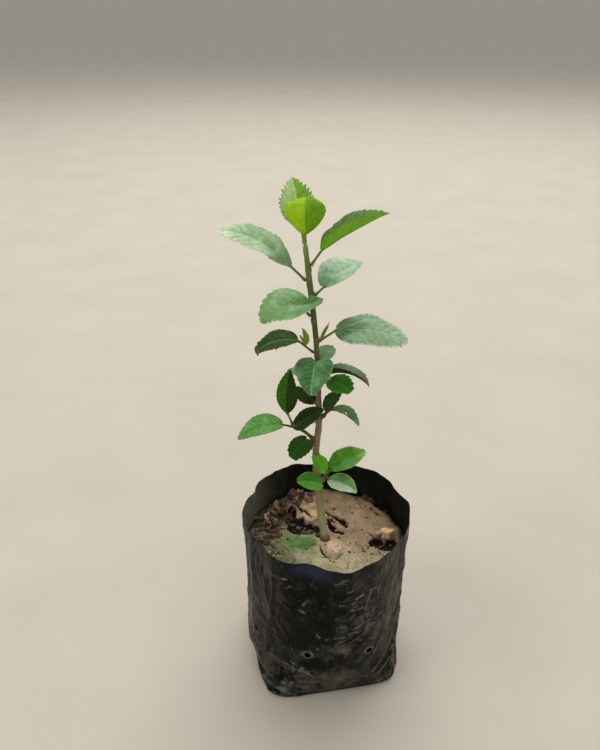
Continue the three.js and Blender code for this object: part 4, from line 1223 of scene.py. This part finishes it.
for seed, (name, shoot) in enumerate(SHOOTS.items()):
    direction = heading(shoot["turn"], shoot["rise"])
    share = place_on("stem", shoot["height"])
    start = branch_start("stem", share, direction, shoot["radii"][0])
    tip = on_line(stem_line, share) + direction * shoot["length"]
    line = smooth_line([start, (start + tip) / 2 + (0, 0, shoot["bow"]), tip])
    low, high = shoot["radii"]
    limbs[name] = (line, lambda share, low=low, high=high: low + (high - low) * share)
    rooted = np.concatenate([[start - direction * 2.2], line])
    radius_of = shoot_radius(start, low, high, shoot["length"])
    limb_piece(f"{name}_bark", name, rooted, radius_of, [(0, shoot["tint"]), (400, shoot["tint"])], [],
               SHOOT_ROWS, SHOOT_SIDES, (0.012, 0.35), SHOOT_HAIRS, 40 + seed)


# Leaves. Each has a thin stalk with a swelling at both ends and a toothed blade, heart-shaped at its
# foot, with five veins fanning from the stalk and more along the midrib, between which it is puckered.

# A leaf has a limb and a place on it, a stalk (turn, rise, length), a blade, and a look. In a look,
# minus and plus colour the two halves of the upper face and under the lower face. Much of this colour is
# painted light: the pale grey-green upper faces and pale tips are a painted reflection of the sky, a half
# much brighter than the other is painted light falling on it or shining through it and the darker half
# painted shade, and the leaves marked shaded are painted dark for the shade under the crown.
LEAVES = {
    # Its pale plus half is painted light, on the half that faces the light
    "leaf_top_back": dict(
        limb="stem", at=348, stalk=(115, 59, 14.6),
        blade=dict(turn=130, rise=74, roll=-36, fold=12, droop=5, length=31.5, width=20, peak=0.86, blunt=1),
        look=dict(slim=0.95, minus=paint(147, 204, 66), plus=paint(216, 246, 161), under=paint(120, 150, 70),
            edge=paint(120, 120, 52), rib=paint(246, 255, 213), stalk=paint(116, 148, 44), teeth=1.9,
            tooth_gap=2.2, pucker=1.2)),
    # Its bright yellow-green underside is painted light shining through the blade; the darker under_plus half
    # is painted shade
    "leaf_top_front": dict(
        limb="stem", at=353, stalk=(270, 74, 9),
        blade=dict(turn=268, rise=72, fold=10, droop=-60, curl=-60, length=24, width=25, peak=1.2, blunt=0.58),
        look=dict(slim=1.0, painted_pucker_sheen=0.1, minus=paint(110, 150, 40), plus=paint(100, 140, 36),
            under=paint(156, 201, 1), under_plus=paint(112, 163, 0), stalk=paint(120, 150, 44), teeth=0.5,
            pucker=0.15, veins=0.3, crests=(0.4, 2.2))),
    # Its bright yellow-green underside is painted light shining through the blade
    "leaf_high_right": dict(
        limb="stem", at=336, stalk=(-12, 57, 17),
        blade=dict(turn=2, rise=36, roll=-6, fold=35, droop=12, length=46, width=28, heart=0.05),
        look=dict(minus=paint(92, 128, 58), plus=paint(104, 138, 78), under=paint(120, 188, 0),
            under_plus=paint(97, 153, 2), rib=paint(92, 74, 48), teeth=0.9, pucker=1.2)),
    "leaf_high_left": dict(
        limb="stem", at=325.6, stalk=(180, 45, 18),
        blade=dict(turn=166, rise=46, roll=-2, twist=-25, fold=8, droop=50, length=54, width=24, heart=0.05),
        look=dict(veins=0.9, minus=paint(162, 190, 148), plus=paint(171, 198, 158), under=paint(118, 156, 50),
            foot=paint(59, 104, 39), tip=paint(216, 231, 198), pucker=1.1)),
    "leaf_upper_right": dict(
        limb="stem", at=316, stalk=(20, 40, 12),
        blade=dict(turn=45, rise=24, roll=6, fold=25, droop=20, length=34, width=26, heart=0.1),
        look=dict(veins=0.9, foot=paint(104, 146, 98), minus=paint(167, 198, 164), plus=paint(192, 215, 192),
            under=paint(98, 136, 62), teeth=0.7)),
    "leaf_upper_left": dict(
        limb="stem", at=300, stalk=(195, 54, 15.5),
        blade=dict(turn=208, rise=14, roll=-26, fold=5, droop=30, curl=70, length=31, width=27, heart=0.3,
            peak=0.6),
        look=dict(veins=0.9, minus=paint(150, 189, 133), plus=paint(140, 181, 122), under=paint(96, 134, 66),
            foot=paint(86, 130, 72), tip=paint(135, 173, 113), lobe=(4.0, 10.0, 3.2))),
    # Its near-white edge is a painted highlight on the rolled rim
    "leaf_middle_right": dict(
        limb="stem", at=284, stalk=(-12, 40, 18),
        blade=dict(turn=-8, rise=12, roll=15, droop=32, curl=10, length=48, width=30, blunt=0.7, heart=0.05),
        look=dict(veins=0.9, minus=paint(132, 163, 127), plus=paint(138, 169, 136), under=paint(100, 134, 76),
            foot=paint(45, 91, 33), tip=paint(172, 189, 165), edge=paint(196, 208, 184), teeth=1.2),
        buds=[(0.05, -20, 68, 15, 4.5), (0.1, 30, 60, 10, 3.5)]),
    "leaf_middle_left": dict(
        limb="stem", at=275, stalk=(190, 42, 18),
        blade=dict(turn=186, rise=12, roll=-8, fold=8, droop=62, length=33, width=21, heart=0.05),
        look=dict(painted_pucker_sheen=0.25, shaded=True, minus=paint(35, 71, 16), plus=paint(33, 71, 15),
            under=paint(66, 98, 48), dead=0.84, edge=paint(96, 78, 46), rib=paint(112, 140, 74), teeth=0.9),
        buds=[(0.42, 150, 80, 13, 8), (0.5, 190, 70, 8, 5)]),
    "leaf_small_behind": dict(
        limb="stem", at=266, stalk=(75, 40, 8),
        blade=dict(turn=40, rise=20, roll=20, droop=20, length=13, width=12, blunt=0.6),
        look=dict(minus=paint(104, 138, 94), plus=paint(98, 132, 90), under=paint(84, 114, 62))),
    "leaf_heart_front": dict(
        limb="stem", at=268, stalk=(265, 40, 8),
        blade=dict(turn=260, rise=-14, roll=6, fold=10, droop=50, curl=30, length=25.5, width=26, peak=0.55,
            blunt=0.8, heart=0.15),
        look=dict(painted_pucker_sheen=0.9, veins=2.2, minus=paint(72, 123, 69), plus=paint(79, 135, 77),
            under=paint(76, 112, 56), rib=paint(150, 184, 132), edge=paint(120, 146, 108), teeth=0.7)),
    "leaf_arching_right": dict(
        limb="stem", at=256, stalk=(-20, 40, 10),
        blade=dict(turn=-18, rise=30, fold=50, droop=78, length=32, width=12, peak=0.6),
        look=dict(minus=paint(134, 156, 122), plus=paint(150, 170, 140), under=paint(38, 56, 18),
            under_plus=paint(84, 104, 34), tip=paint(150, 138, 66))),
    "leaf_round_right": dict(
        limb="stem", at=253, stalk=(-42, 30, 14),
        blade=dict(turn=-36, rise=5, roll=14, fold=5, droop=30, length=17, width=17, blunt=0.6),
        look=dict(edge=paint(104, 156, 70), veins=0.9, painted_pucker_sheen=0.25, shaded=True, minus=paint(58, 138, 13),
            plus=paint(55, 132, 11), under=paint(62, 102, 36), teeth=1.9)),
    "leaf_hidden_back": dict(
        limb="stem", at=246, stalk=(88, 12, 8),
        blade=dict(turn=84, rise=2, fold=10, droop=30, length=22, width=16),
        look=dict(minus=paint(84, 116, 62), plus=paint(88, 122, 66), under=paint(80, 108, 60))),
    "leaf_back_left": dict(
        limb="stem", at=254, stalk=(145, 24, 8),
        blade=dict(turn=152, rise=8, roll=-6, fold=8, droop=24, length=18, width=12),
        look=dict(minus=paint(108, 122, 88), plus=paint(104, 118, 86), under=paint(84, 104, 62))),
    "leaf_shaded_left": dict(
        limb="stem", at=232, stalk=(120, 20, 7),
        blade=dict(turn=160, rise=26, roll=-20, fold=5, droop=10, length=20, width=12),
        look=dict(painted_pucker_sheen=0.25, shaded=True, veins=0.35, minus=paint(30, 56, 16), plus=paint(26, 52, 14),
            under=paint(36, 62, 22))),
    "leaf_low_back": dict(
        limb="stem", at=214, stalk=(100, 25, 7),
        blade=dict(turn=112, rise=8, fold=8, droop=24, length=17, width=13),
        look=dict(minus=paint(72, 104, 52), plus=paint(76, 110, 54), under=paint(76, 104, 56))),
    "leaf_low_dark": dict(
        limb="stem", at=201.5, stalk=(225, 44, 12.4),
        blade=dict(turn=228, rise=-15, fold=5, droop=30, length=18, width=18, blunt=0.5),
        look=dict(painted_pucker_sheen=0.25, shaded=True, minus=paint(11, 73, 4), plus=paint(11, 69, 4),
            under=paint(44, 84, 28), teeth=1.2)),
    # Its brighter under half is painted light and its darker under_plus half painted shade
    "leaf_upright_left": dict(
        limb="shoot_left", at=0.97, stalk=(166, 68, 13),
        blade=dict(turn=240, rise=78, roll=20, fold=20, droop=-40, length=33, width=16),
        look=dict(painted_pucker_sheen=0.25, shaded=True, veins=0.35, minus=paint(46, 86, 24), plus=paint(42, 82, 22),
            under=paint(40, 92, 10), under_plus=paint(26, 54, 12), rib=paint(78, 92, 40), teeth=0.35),
        buds=[(0.3, 200, 60, 7, 4)]),
    "leaf_crossing_front": dict(
        limb="shoot_left", at=0.92, stalk=(275, 45, 6),
        blade=dict(turn=-10, rise=44, roll=30, fold=5, droop=10, length=26, width=16),
        look=dict(painted_pucker_sheen=0.25, shaded=True, veins=0.35, minus=paint(12, 51, 4), plus=paint(5, 35, 1),
            under=paint(50, 74, 32), teeth=0.5)),
    "leaf_far_left": dict(
        limb="shoot_left", at=1, stalk=(180, 12, 9),
        blade=dict(turn=199, rise=10, roll=-12, fold=18, droop=45, length=33, width=20),
        look=dict(minus=paint(89, 152, 66), plus=paint(87, 148, 64), under=paint(76, 122, 50),
            edge=paint(60, 96, 40), stalk=paint(66, 44, 32), teeth=0.6)),
    "leaf_shoot_right_upper": dict(
        limb="shoot_right", at=0.8, stalk=(160, 20, 4),
        blade=dict(turn=-10, rise=54, roll=35, fold=5, droop=10, length=18, width=12),
        look=dict(painted_pucker_sheen=0.25, shaded=True, veins=0.35, minus=paint(44, 72, 22), plus=paint(38, 64, 18),
            under=paint(46, 74, 28))),
    "leaf_shoot_right_lower": dict(
        limb="shoot_right", at=1, stalk=(-20, 10, 2),
        blade=dict(turn=-20, rise=5, fold=25, droop=60, length=22, width=12),
        look=dict(tip=paint(128, 156, 84), minus=paint(50, 84, 38), plus=paint(88, 118, 74),
            under=paint(84, 108, 58), hole=(0.42, 0.05, 0.85))),
    "leaf_base_upper_left": dict(
        limb="shoot_base", at=1, stalk=(245, 48, 6),
        blade=dict(turn=190, rise=55, roll=-40, fold=10, droop=10, length=17, width=13),
        look=dict(painted_pucker_sheen=0.25, veins=0.9, minus=paint(94, 177, 1), plus=paint(85, 164, 1),
            under=paint(72, 124, 28), edge=paint(110, 158, 50), teeth=0.35)),
    "leaf_base_upper_right": dict(
        limb="shoot_base", at=1, stalk=(10, 40, 4),
        blade=dict(turn=33, rise=18, roll=15, fold=25, droop=16, length=30, width=20),
        look=dict(tip=paint(124, 176, 66), painted_pucker_sheen=0.25, veins=0.9, minus=paint(62, 132, 1),
            plus=paint(66, 136, 2), under=paint(78, 126, 34), edge=paint(134, 172, 90), teeth=0.8)),
    "leaf_base_lower_left": dict(
        limb="shoot_base", at=0.3, stalk=(254, 10, 9),
        blade=dict(turn=198, rise=25, roll=-20, fold=5, droop=20, length=19, width=16, blunt=0.6),
        look=dict(painted_pucker_sheen=0.25, veins=0.9, minus=paint(50, 128, 19), plus=paint(75, 159, 32),
            under=paint(84, 132, 56), edge=paint(120, 168, 96), teeth=0.3)),
    # Its pale minus half and white edge are a painted reflection of the sky on the near half of the fold
    "leaf_base_lower_right": dict(
        limb="shoot_base", at=0.4, stalk=(-48, 10, 6),
        blade=dict(turn=-28, rise=14, roll=12, fold=5, droop=45, length=23, width=16),
        look=dict(painted_pucker_sheen=0.15, veins=0.9, edge=paint(206, 216, 194), minus=paint(178, 196, 162),
            plus=paint(104, 156, 84), under=paint(96, 140, 74), teeth=0.3)),
}
BLADE_THICK = 0.34
STALK_GREEN = paint(104, 112, 50)
BUD_GREEN = paint(136, 172, 50)
DEAD_BROWN = paint(104, 70, 44)
# Teeth: millimetres from one to the next, where the blade's teeth start, and the way up and down one
TOOTH_GAP, TOOTH_FROM, TOOTH_TIP = 3.1, 0.2, 0.72
TOOTH_PHASES = (0, 0.18, 0.36, 0.54, 0.72, 0.86)


def vein_lines():
    """Veins of a blade as points of way along it and across it, with a width: the midrib, two pairs that
    fan from the stalk, and side veins that sweep towards the teeth."""
    bow = np.linspace(0, 1, 11)[:, None]

    def swept(*ends):
        a, b, c = np.array(ends, float)
        return a * (1 - bow) ** 2 + 2 * b * bow * (1 - bow) + c * bow ** 2

    lines = [(swept((0, 0), (0.5, 0), (1, 0)), 0.46)]
    for side in (-1, 1):
        lines.append((swept((0, 0), (0.17, 0.42 * side), (0.58, 0.95 * side)), 0.30))
        lines.append((swept((0, 0), (0.03, 0.5 * side), (0.22, 0.95 * side)), 0.22))
        for i in range(6):
            t = 0.24 + 0.115 * i + 0.02 * side
            lines.append((swept((t, 0), (t + 0.06, 0.5 * side), (t + 0.15, 0.96 * side)), 0.2))
        for t, u in ((0.13, 0.27), (0.24, 0.46), (0.35, 0.63)):
            lines.append((swept((t, u * side), (t + 0.02, (u + 0.2) * side), (t + 0.09, 0.97 * side)), 0.15))
    return lines


VEINS = vein_lines()


def put_teeth(points, look, seed, t, u, half_at, length, tooth_count, side_at, tangent_at, normal_at):
    """Moves the margin of a blade out and forwards into saw teeth of uneven size."""
    per_tooth = (1 - TOOTH_FROM) / tooth_count
    rng = np.random.default_rng(seed + 500)
    phase = np.clip((t - TOOTH_FROM) / per_tooth, 0, tooth_count - 1e-6)
    which = phase.astype(int)
    part = phase - which
    saw = np.where(part < TOOTH_TIP, (part / TOOTH_TIP) ** 0.8, (1 - part) / (1 - TOOTH_TIP))
    plus_side, minus_side = rng.uniform(0.65, 1.25, tooth_count), rng.uniform(0.65, 1.25, tooth_count)
    sizes = np.where(u > 0, plus_side[which], minus_side[which])
    amount = (0.42 + 0.019 * length) * look.get("teeth", 1) * sizes * saw
    amount = amount * np.abs(u) ** 9 * (t >= TOOTH_FROM) * smooth(-t, -1, -0.965)
    amount = np.minimum(amount, 0.4 * half_at)[:, None]
    curled = rng.uniform(-0.5, 0.9, tooth_count)[which][:, None]
    points += side_at * (np.sign(u)[:, None] * amount * 0.85) + tangent_at * (0.75 * amount)
    points += normal_at * (amount * curled * 0.6)


def face_colours(look, t, u, sideways, deep, vein, puff, size):
    """Colours of the upper and the lower face at each place of a blade, with painted sheen on the puckers."""
    over = smooth(u, -0.1, 0.1)
    tint = laid_over(np.tile(look["minus"], (len(t), 1)), look["plus"], over)
    if "foot" in look:
        cloud = 0.85 * smooth(-t - 0.12 * np.abs(u - 0.2) + 0.14 * ripple(deep, 7, 93), -0.5, -0.14)
        tint = laid_over(tint, look["foot"], cloud)
    if "tip" in look:
        tint = laid_over(tint, look["tip"], smooth(t, 0.6, 0.95))
    shade = 1 + 0.09 * ripple(deep, 5, 94) + 0.05 * ripple(deep, 1.6, 95)
    tint = shaded_by(tint, shade)
    # Painted sheen: pale patches on the raised puckers, as the sky's reflection would give, over a slightly
    # darker rest; and pale veins
    painted_pucker_sheen = smooth(ripple(deep, 6 + 4 * size, 97) + 0.9 * (puff / size - 0.35), -0.2, 0.6)
    pale = np.clip(tint * 1.26 + 0.06, 0, 1)
    tint = laid_over(tint * (0.84, 0.89, 0.82, 1), pale, look.get("painted_pucker_sheen", 0.65) * painted_pucker_sheen)
    veins = look.get("veins", 0.6) * vein[:, None]
    tint = tint + (np.clip(tint * 1.25 + 0.07, 0, 1) - tint) * veins
    low = laid_over(np.tile(look["under"], (len(t), 1)), look.get("under_plus", look["under"]), over)
    low = shaded_by(low, shade)
    low = low + (np.clip(low * 1.3 + 0.05, 0, 1) - low) * (1.1 * veins)
    if "rib" in look:
        tint = laid_over(tint, look["rib"], 0.8 * bell(sideways, 0.55))
        low = laid_over(low, look["rib"], 0.5 * bell(sideways, 0.5))
    # Margins take the look's edge colour, or else a paler green. Pale margins are painted highlights along the
    # rims.
    margin = smooth(np.abs(u), 0.9, 1.0) * (t > 0.12)
    if "edge" in look:
        tint, low = laid_over(tint, look["edge"], 0.75 * margin), laid_over(low, look["edge"], 0.5 * margin)
    else:
        tint = laid_over(tint, np.clip(np.array(look["minus"]) * 1.2 + 0.03, 0, 1), 0.35 * margin)
        low = laid_over(low, look["under"], 0.5 * margin)
    if "dead" in look:
        gone = smooth(t + 0.05 * ripple(deep, 3, 96), look["dead"] - 0.03, look["dead"] + 0.04)
        tint, low = laid_over(tint, DEAD_BROWN, gone), laid_over(low, DEAD_BROWN, gone)
    return tint, low


def add_blade(shape, foot, blade, look, seed, teeth=True):
    """A blade from its foot to its tip. Gives back the middle line of its lower face, the way along the
    blade of each of its points, and the way up there."""
    length, width, turn = blade["length"], blade["width"], blade["turn"]
    roll, twist, fold = blade.get("roll", 0), blade.get("twist", 0), math.radians(blade.get("fold", 0))
    droop, curl = blade.get("droop", 0), blade.get("curl", 0)
    peak, blunt, heart = blade.get("peak", 0.72), blade.get("blunt", 0.8), blade.get("heart", 0.12)
    tooth_count = max(5, round(length * (1 - TOOTH_FROM) / look.get("tooth_gap", TOOTH_GAP)))
    if teeth:
        per_tooth = (1 - TOOTH_FROM) / tooth_count
        starts = TOOTH_FROM + per_tooth * np.arange(tooth_count)
        toothed = (starts[:, None] + per_tooth * np.array(TOOTH_PHASES)).ravel()
        plain = np.linspace(0.07, TOOTH_FROM, 9, endpoint=False)
        ways = np.concatenate([[0, 0.01, 0.022, 0.036, 0.052], plain, toothed, [1]])
        cols = int(np.clip(2 * round(width * 1.15) + 1, 21, 65))
    else:
        ways, cols = np.linspace(0, 1, 26), 13
    rows = len(ways)
    across = np.sin(np.linspace(-1, 1, cols) * math.pi / 2) * 0.35 + np.linspace(-1, 1, cols) * 0.65
    t, u = (grid.ravel() for grid in np.meshgrid(ways, across, indexing="ij"))

    # Middle line, and the blade's own directions along it
    end_curl = 190 if "dead" in look else 0

    def rise_at(t):
        return blade["rise"] - droop * t - curl * t ** 3 - end_curl * smooth(t, 0.84, 1.1)

    steps = np.linspace(0, 1, 200)
    strides = heading(turn, rise_at((steps[:-1] + steps[1:]) / 2)) * length * np.diff(steps)[:, None]
    trail = np.concatenate([[foot], foot + np.cumsum(strides, axis=0)])
    spot = np.stack([np.interp(ways, steps, trail[:, i]) for i in range(3)], 1)
    tangent = heading(turn + 0 * ways, rise_at(ways))
    level = np.array([-math.sin(math.radians(turn)), math.cos(math.radians(turn)), 0])
    up = np.cross(tangent, level)
    tilt = np.radians(roll + twist * ways)[:, None]
    side = level * np.cos(tilt) + up * np.sin(tilt)
    normal = np.cross(tangent, side)
    half = width / 2 * np.clip(np.sin(math.pi * ways ** peak), 0, 1) ** blunt
    half = np.maximum(half, np.interp(ways, [0, 0.1, 0.9, 1], [0.45, 0.45, 0.3, 0.06]))
    half_at = np.repeat(half, cols)
    side_at, normal_at, tangent_at, up_at = (np.repeat(v, cols, axis=0) for v in (side, normal, tangent, up))

    # Flat places in millimetres, for the veins and the puckers between them
    along, sideways = t * length, u * half_at
    flat = np.stack([along, sideways], 1)
    deep = np.stack([along, sideways, 0 * along], 1) + seed * 37.7
    vein, nearest = np.zeros(len(flat)), np.full(len(flat), 1e9)
    for line, wide in VEINS if teeth else VEINS[:1]:
        placed = np.stack([line[:, 0] * length, line[:, 1] * np.interp(line[:, 0], ways, half)], 1)
        gap, where = away_from(flat, placed)
        wide = wide * (0.55 + length / 70) * (1 - 0.55 * where)
        vein = np.maximum(vein, bell(gap, wide) * (0.45 + wide * 1.2))
        nearest = np.minimum(nearest, gap)
    size = length / 40
    puff = (1 - np.exp(-(nearest / (1.5 * size + 0.4)) ** 1.5)) * 0.5 * size * look.get("pucker", 1.1)
    puff = puff * (0.75 + 0.5 * ripple(deep, 9 * size + 2, 89))
    margin_place = np.stack([along, np.sign(u) * 9, 0 * u], 1) + seed * 11.3
    wavy = np.abs(u) ** 2.5 * 0.9 * size * ripple(margin_place, 9 * size + 2, 90)
    soft = 0.5 * size * ripple(deep, 8 * size + 2, 91) * (0.3 + np.abs(u))
    lift = (puff - 0.16 * size + wavy + soft + 0.06 * ripple(deep, 1.6, 92)) * smooth(t, 0, 0.08)
    lift = lift if teeth else 0.2 * lift

    # Folded along the midrib, with a heart-shaped foot
    bent = np.sqrt(u * u + 0.0016) - 0.04
    points = np.repeat(spot, cols, axis=0) + side_at * (sideways * math.cos(fold))[:, None]
    points += normal_at * (half_at * bent * math.sin(fold) + lift)[:, None]
    points -= tangent_at * (heart * width * np.abs(u) * (1 - t) ** 3 * (t > 0))[:, None]
    if "lobe" in look:
        back, rise_up, outward = look["lobe"]
        lobe = smooth(u, -0.1, 0.9) * (1 - smooth(t, 0.08, 0.5))
        points += (up_at * rise_up - tangent_at * back + side_at * outward) * lobe[:, None]
    if "crests" in look:
        left, right = look["crests"]
        points[:, 2] += (left * bell(u + 0.5, 0.35) + right * bell(u - 0.5, 0.38)) * smooth(t, 0.25, 0.6)
    if teeth:
        put_teeth(points, look, seed, t, u, half_at, length, tooth_count, side_at, tangent_at, normal_at)
    thick = BLADE_THICK * (1 - 0.6 * np.abs(u) ** 6)
    top = points + normal_at * (thick / 2 - 0.17 * vein * size)[:, None]
    under = points - normal_at * (thick / 2 + 0.12 * vein * size)[:, None]
    tint, low = face_colours(look, t, u, sideways, deep, vein, puff, size)
    kept = None
    if "hole" in look:
        hole_way, hole_across, hole_radius = look["hole"]
        gap = np.hypot(along - hole_way * length, (sideways - hole_across * width / 2) * 0.8)
        browned = bell(gap - hole_radius, 0.45)
        tint, low = laid_over(tint, DEAD_BROWN, browned), laid_over(low, DEAD_BROWN, browned)
        gap = gap.reshape(rows, cols)
        kept = (gap[:-1, :-1] + gap[1:, :-1] + gap[:-1, 1:] + gap[1:, 1:]) / 4 > hole_radius
    place = np.stack([along, sideways, 0 * along + seed * 3.0], 1)
    top, under = top.reshape(rows, cols, 3), under.reshape(rows, cols, 3)
    sheet(shape, under, top, kept, tint=np.concatenate([low, tint]), place=np.tile(place, (2, 1)),
          under=np.repeat([1.0, 0.0], len(t)))
    return under[:, cols // 2], ways, normal


# Fine net of the smallest veins, drawn where a blade carries its own flat place in millimetres
net_group, given, made = node_group("leaf_net", (("Place", "Vector"), ("Cells", "Float")), ("Net", "Mottle"))
stir = add(net_group, "TexNoise", {"Vector": given["Place"], "Scale": 0.9}).outputs["Color"]
bent = add(net_group, "VectorMath", {0: given["Place"], 1: stir}, operation="ADD").outputs[0]
cells = add(net_group, "TexVoronoi", {"Vector": bent, "Scale": given["Cells"]}, feature="DISTANCE_TO_EDGE")
net_group.links.new(spread(net_group, cells.outputs["Distance"], 0.0, 0.16, 1, 0), made["Net"])
net_group.links.new(noise(net_group, given["Place"], 0.35, 5, 0.6), made["Mottle"])


def leaf_finish(name, gloss_level):
    """Leaf skin: its painted colours, mottled, under a net of the smallest veins."""
    skin, tree, shader = finish_of(name, Specular_IOR_Level=gloss_level, Specular_Tint=(0.85, 1.0, 0.45, 1))
    place = painted(tree, "place", "Vector")
    group = add(tree, "Group", {"Place": place, "Cells": 0.95}, node_tree=net_group)
    net, mottle = group.outputs["Net"], group.outputs["Mottle"]
    tint = painted(tree, "tint", "Color")
    below = painted(tree, "under")
    dull, bright = tinted(tree, tint, 0.76, 0.8, 0.7), tinted(tree, tint, 1.16, 1.12, 1.18)
    colour = blotched(tree, dull, bright, mottle, 0.36, 0.64)
    light_net = times(tree, net, spread(tree, below, 0, 1, 0.22, 0.34))
    colour = mix(tree, light_net, colour, mix(tree, 0.3, tint, paint(190, 206, 130)))
    fine = noise(tree, place, 2.2, 4, 0.7)
    colour = blotched(tree, colour, tinted(tree, tint, 0.7, 0.76, 0.6), fine, 0.56, 0.74, 0.3)
    tree.links.new(colour, shader.inputs["Base Color"])
    gloss = plus(tree, spread(tree, mottle, 0.3, 0.7, 0.3, 0.42), spread(tree, below, 0, 1, 0, 0.22))
    tree.links.new(gloss, shader.inputs["Roughness"])
    grain = plus(tree, times(tree, net, spread(tree, below, 0, 1, -0.5, 0.6)), times(tree, fine, 0.9))
    relief(tree, shader, grain, 0.09, 0.7)
    return skin


# A lit and a shaded copy of one skin: leaves painted dark for shade take the one with less gloss, so that
# reflections don't lighten them
leaf_skin = leaf_finish("leaf_skin", 0.25)
shaded_skin = leaf_finish("shaded_leaf_skin", 0.05)


def leaf_shape():
    return Shape(tint=STALK_GREEN, place=(0.0, 0.0, 0.0), under=0.0)


def stalk_parts(leaf):
    """Start, foot and line of a leaf's stalk by the rule that the solids follow."""
    turn, rise, length = leaf["stalk"]
    share = place_on(leaf["limb"], leaf["at"])
    direction = heading(turn, rise)
    start = branch_start(leaf["limb"], share, direction, 0.9)
    foot = on_line(limbs[leaf["limb"]][0], share) + direction * length
    if (foot - start) @ direction < 1:
        foot = start + direction
    under = foot + heading(leaf["blade"]["turn"], leaf["blade"]["rise"]) * 2.5
    return start, foot, direction, smooth_line([start, start + (foot - start) * 0.55, foot, under])


STALK_POINTS, STALK_SIDES, RIB_POINTS, RIB_END = 34, 12, 40, 0.86
YOUNG_FROM = 320
BUD_UNDER, STALK_RED = paint(120, 150, 40), paint(112, 72, 48)
for seed, (name, leaf) in enumerate(LEAVES.items()):
    look = leaf["look"]
    start, foot, direction, line = stalk_parts(leaf)
    shape = leaf_shape()
    lower, ways, normal = add_blade(shape, foot, leaf["blade"], look, seed + 1)
    # The stalk runs from inside the limb to the blade and on below it as the midrib
    stalk = on_line(smooth_line([start, start + (foot - start) * 0.55, foot]), np.linspace(0, 1, STALK_POINTS))
    stalk = np.concatenate([[start - direction * 1.1], stalk[:-1]])
    cut = ways < RIB_END
    rib_line = lower[cut] - normal[cut] * np.interp(ways[cut], [0, 0.06, 1], [0.0, 0.08, 0.0])[:, None]
    whole = np.concatenate([stalk, on_line(rib_line, np.linspace(0, 1, RIB_POINTS))])
    gone = lengths(whole)
    at_foot = gone[len(stalk)]
    slim = look.get("slim", 0.62 + 0.004 * leaf["blade"]["length"])
    radii = np.interp(gone, [0, at_foot, at_foot + 4, gone[-1]], [slim, slim * 0.92, 0.45, 0.1])
    radii += 0.3 * bell(gone - 1.6, 1.5) + 0.16 * bell(gone - at_foot + 0.8, 1.4)
    tint = np.tile(look.get("stalk", STALK_GREEN), (len(whole), 1))
    tint = laid_over(tint, look["under"], smooth(gone, at_foot - 3, at_foot + 3))
    young = leaf["limb"] == "stem" and leaf["at"] > YOUNG_FROM
    tint = laid_over(tint, STALK_RED, (0 if young else 0.6) * smooth(-gone, -4, -0.5))
    add_tube(shape, whole, radii, STALK_SIDES, tint=tint, place=whole, under=0.4)
    for way, turn, rise, length, width in leaf.get("buds", ()):
        bud = dict(turn=turn, rise=rise, length=length, width=width, fold=35, heart=0)
        bud_look = dict(minus=BUD_GREEN, plus=BUD_GREEN, under=BUD_UNDER)
        add_blade(shape, on_line(line, way), bud, bud_look, seed + 60, False)
    grown = shape.piece(f"{name}_grown", shaded_skin if look.get("shaded") else leaf_skin)
    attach(grown, "root")
    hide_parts(name)


# Stipules and axil buds. A pair of thread-like stipules stands at the foot of each stalk on the stem,
# and a small folded bud sits in most of the leaf angles.
STIPULE_NODES, OLD_BELOW = 21, 200
BUD_HEIGHTS = (300, 284, 275, 256, 232, 214, 188, 176, 336, 316)
STIPULE_BROWN, STIPULE_GREEN = paint(128, 96, 60), paint(110, 128, 52)
rng = np.random.default_rng(77)
stipules = leaf_shape()
for height, turn in NODES[:STIPULE_NODES]:
    share = place_on("stem", height)
    root = on_line(stem_line, share)
    radius = float(stem_radius(height))
    for side in (-1, 1):
        out = heading(turn + side * rng.uniform(35, 60), rng.uniform(25, 60))
        length = rng.uniform(3.2, 6) * (0.6 if height < OLD_BELOW else 1)
        begin = root + out * radius * 0.7
        middle = begin + out * length * 0.5 + rng.normal(size=3) * 0.25
        tip = begin + out * length + np.array([0, 0, 0.25 * length]) + rng.normal(size=3) * 0.3
        line = smooth_line([begin, middle, tip], 6)
        tint = STIPULE_BROWN if rng.random() < 0.5 else STIPULE_GREEN
        add_tube(stipules, line, np.linspace(0.2, 0.04, len(line)), 5, tint=tint, under=1.0)
    if height in BUD_HEIGHTS:
        for k in range(2):
            bud_turn = turn + rng.uniform(-30, 30) + 70 * k
            bud = dict(turn=bud_turn, rise=rng.uniform(55, 80), length=rng.uniform(2.2, 4.2),
                       width=rng.uniform(1.3, 2.1), fold=38, heart=0)
            begin = root + heading(turn, 40) * (radius + 0.1)
            bud_look = dict(minus=BUD_GREEN, plus=BUD_GREEN, under=paint(112, 140, 44))
            add_blade(stipules, begin, bud, bud_look, 200 + int(height), False)
stipule_piece = stipules.piece("stipules_and_buds", leaf_skin)
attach(stipule_piece, "root")
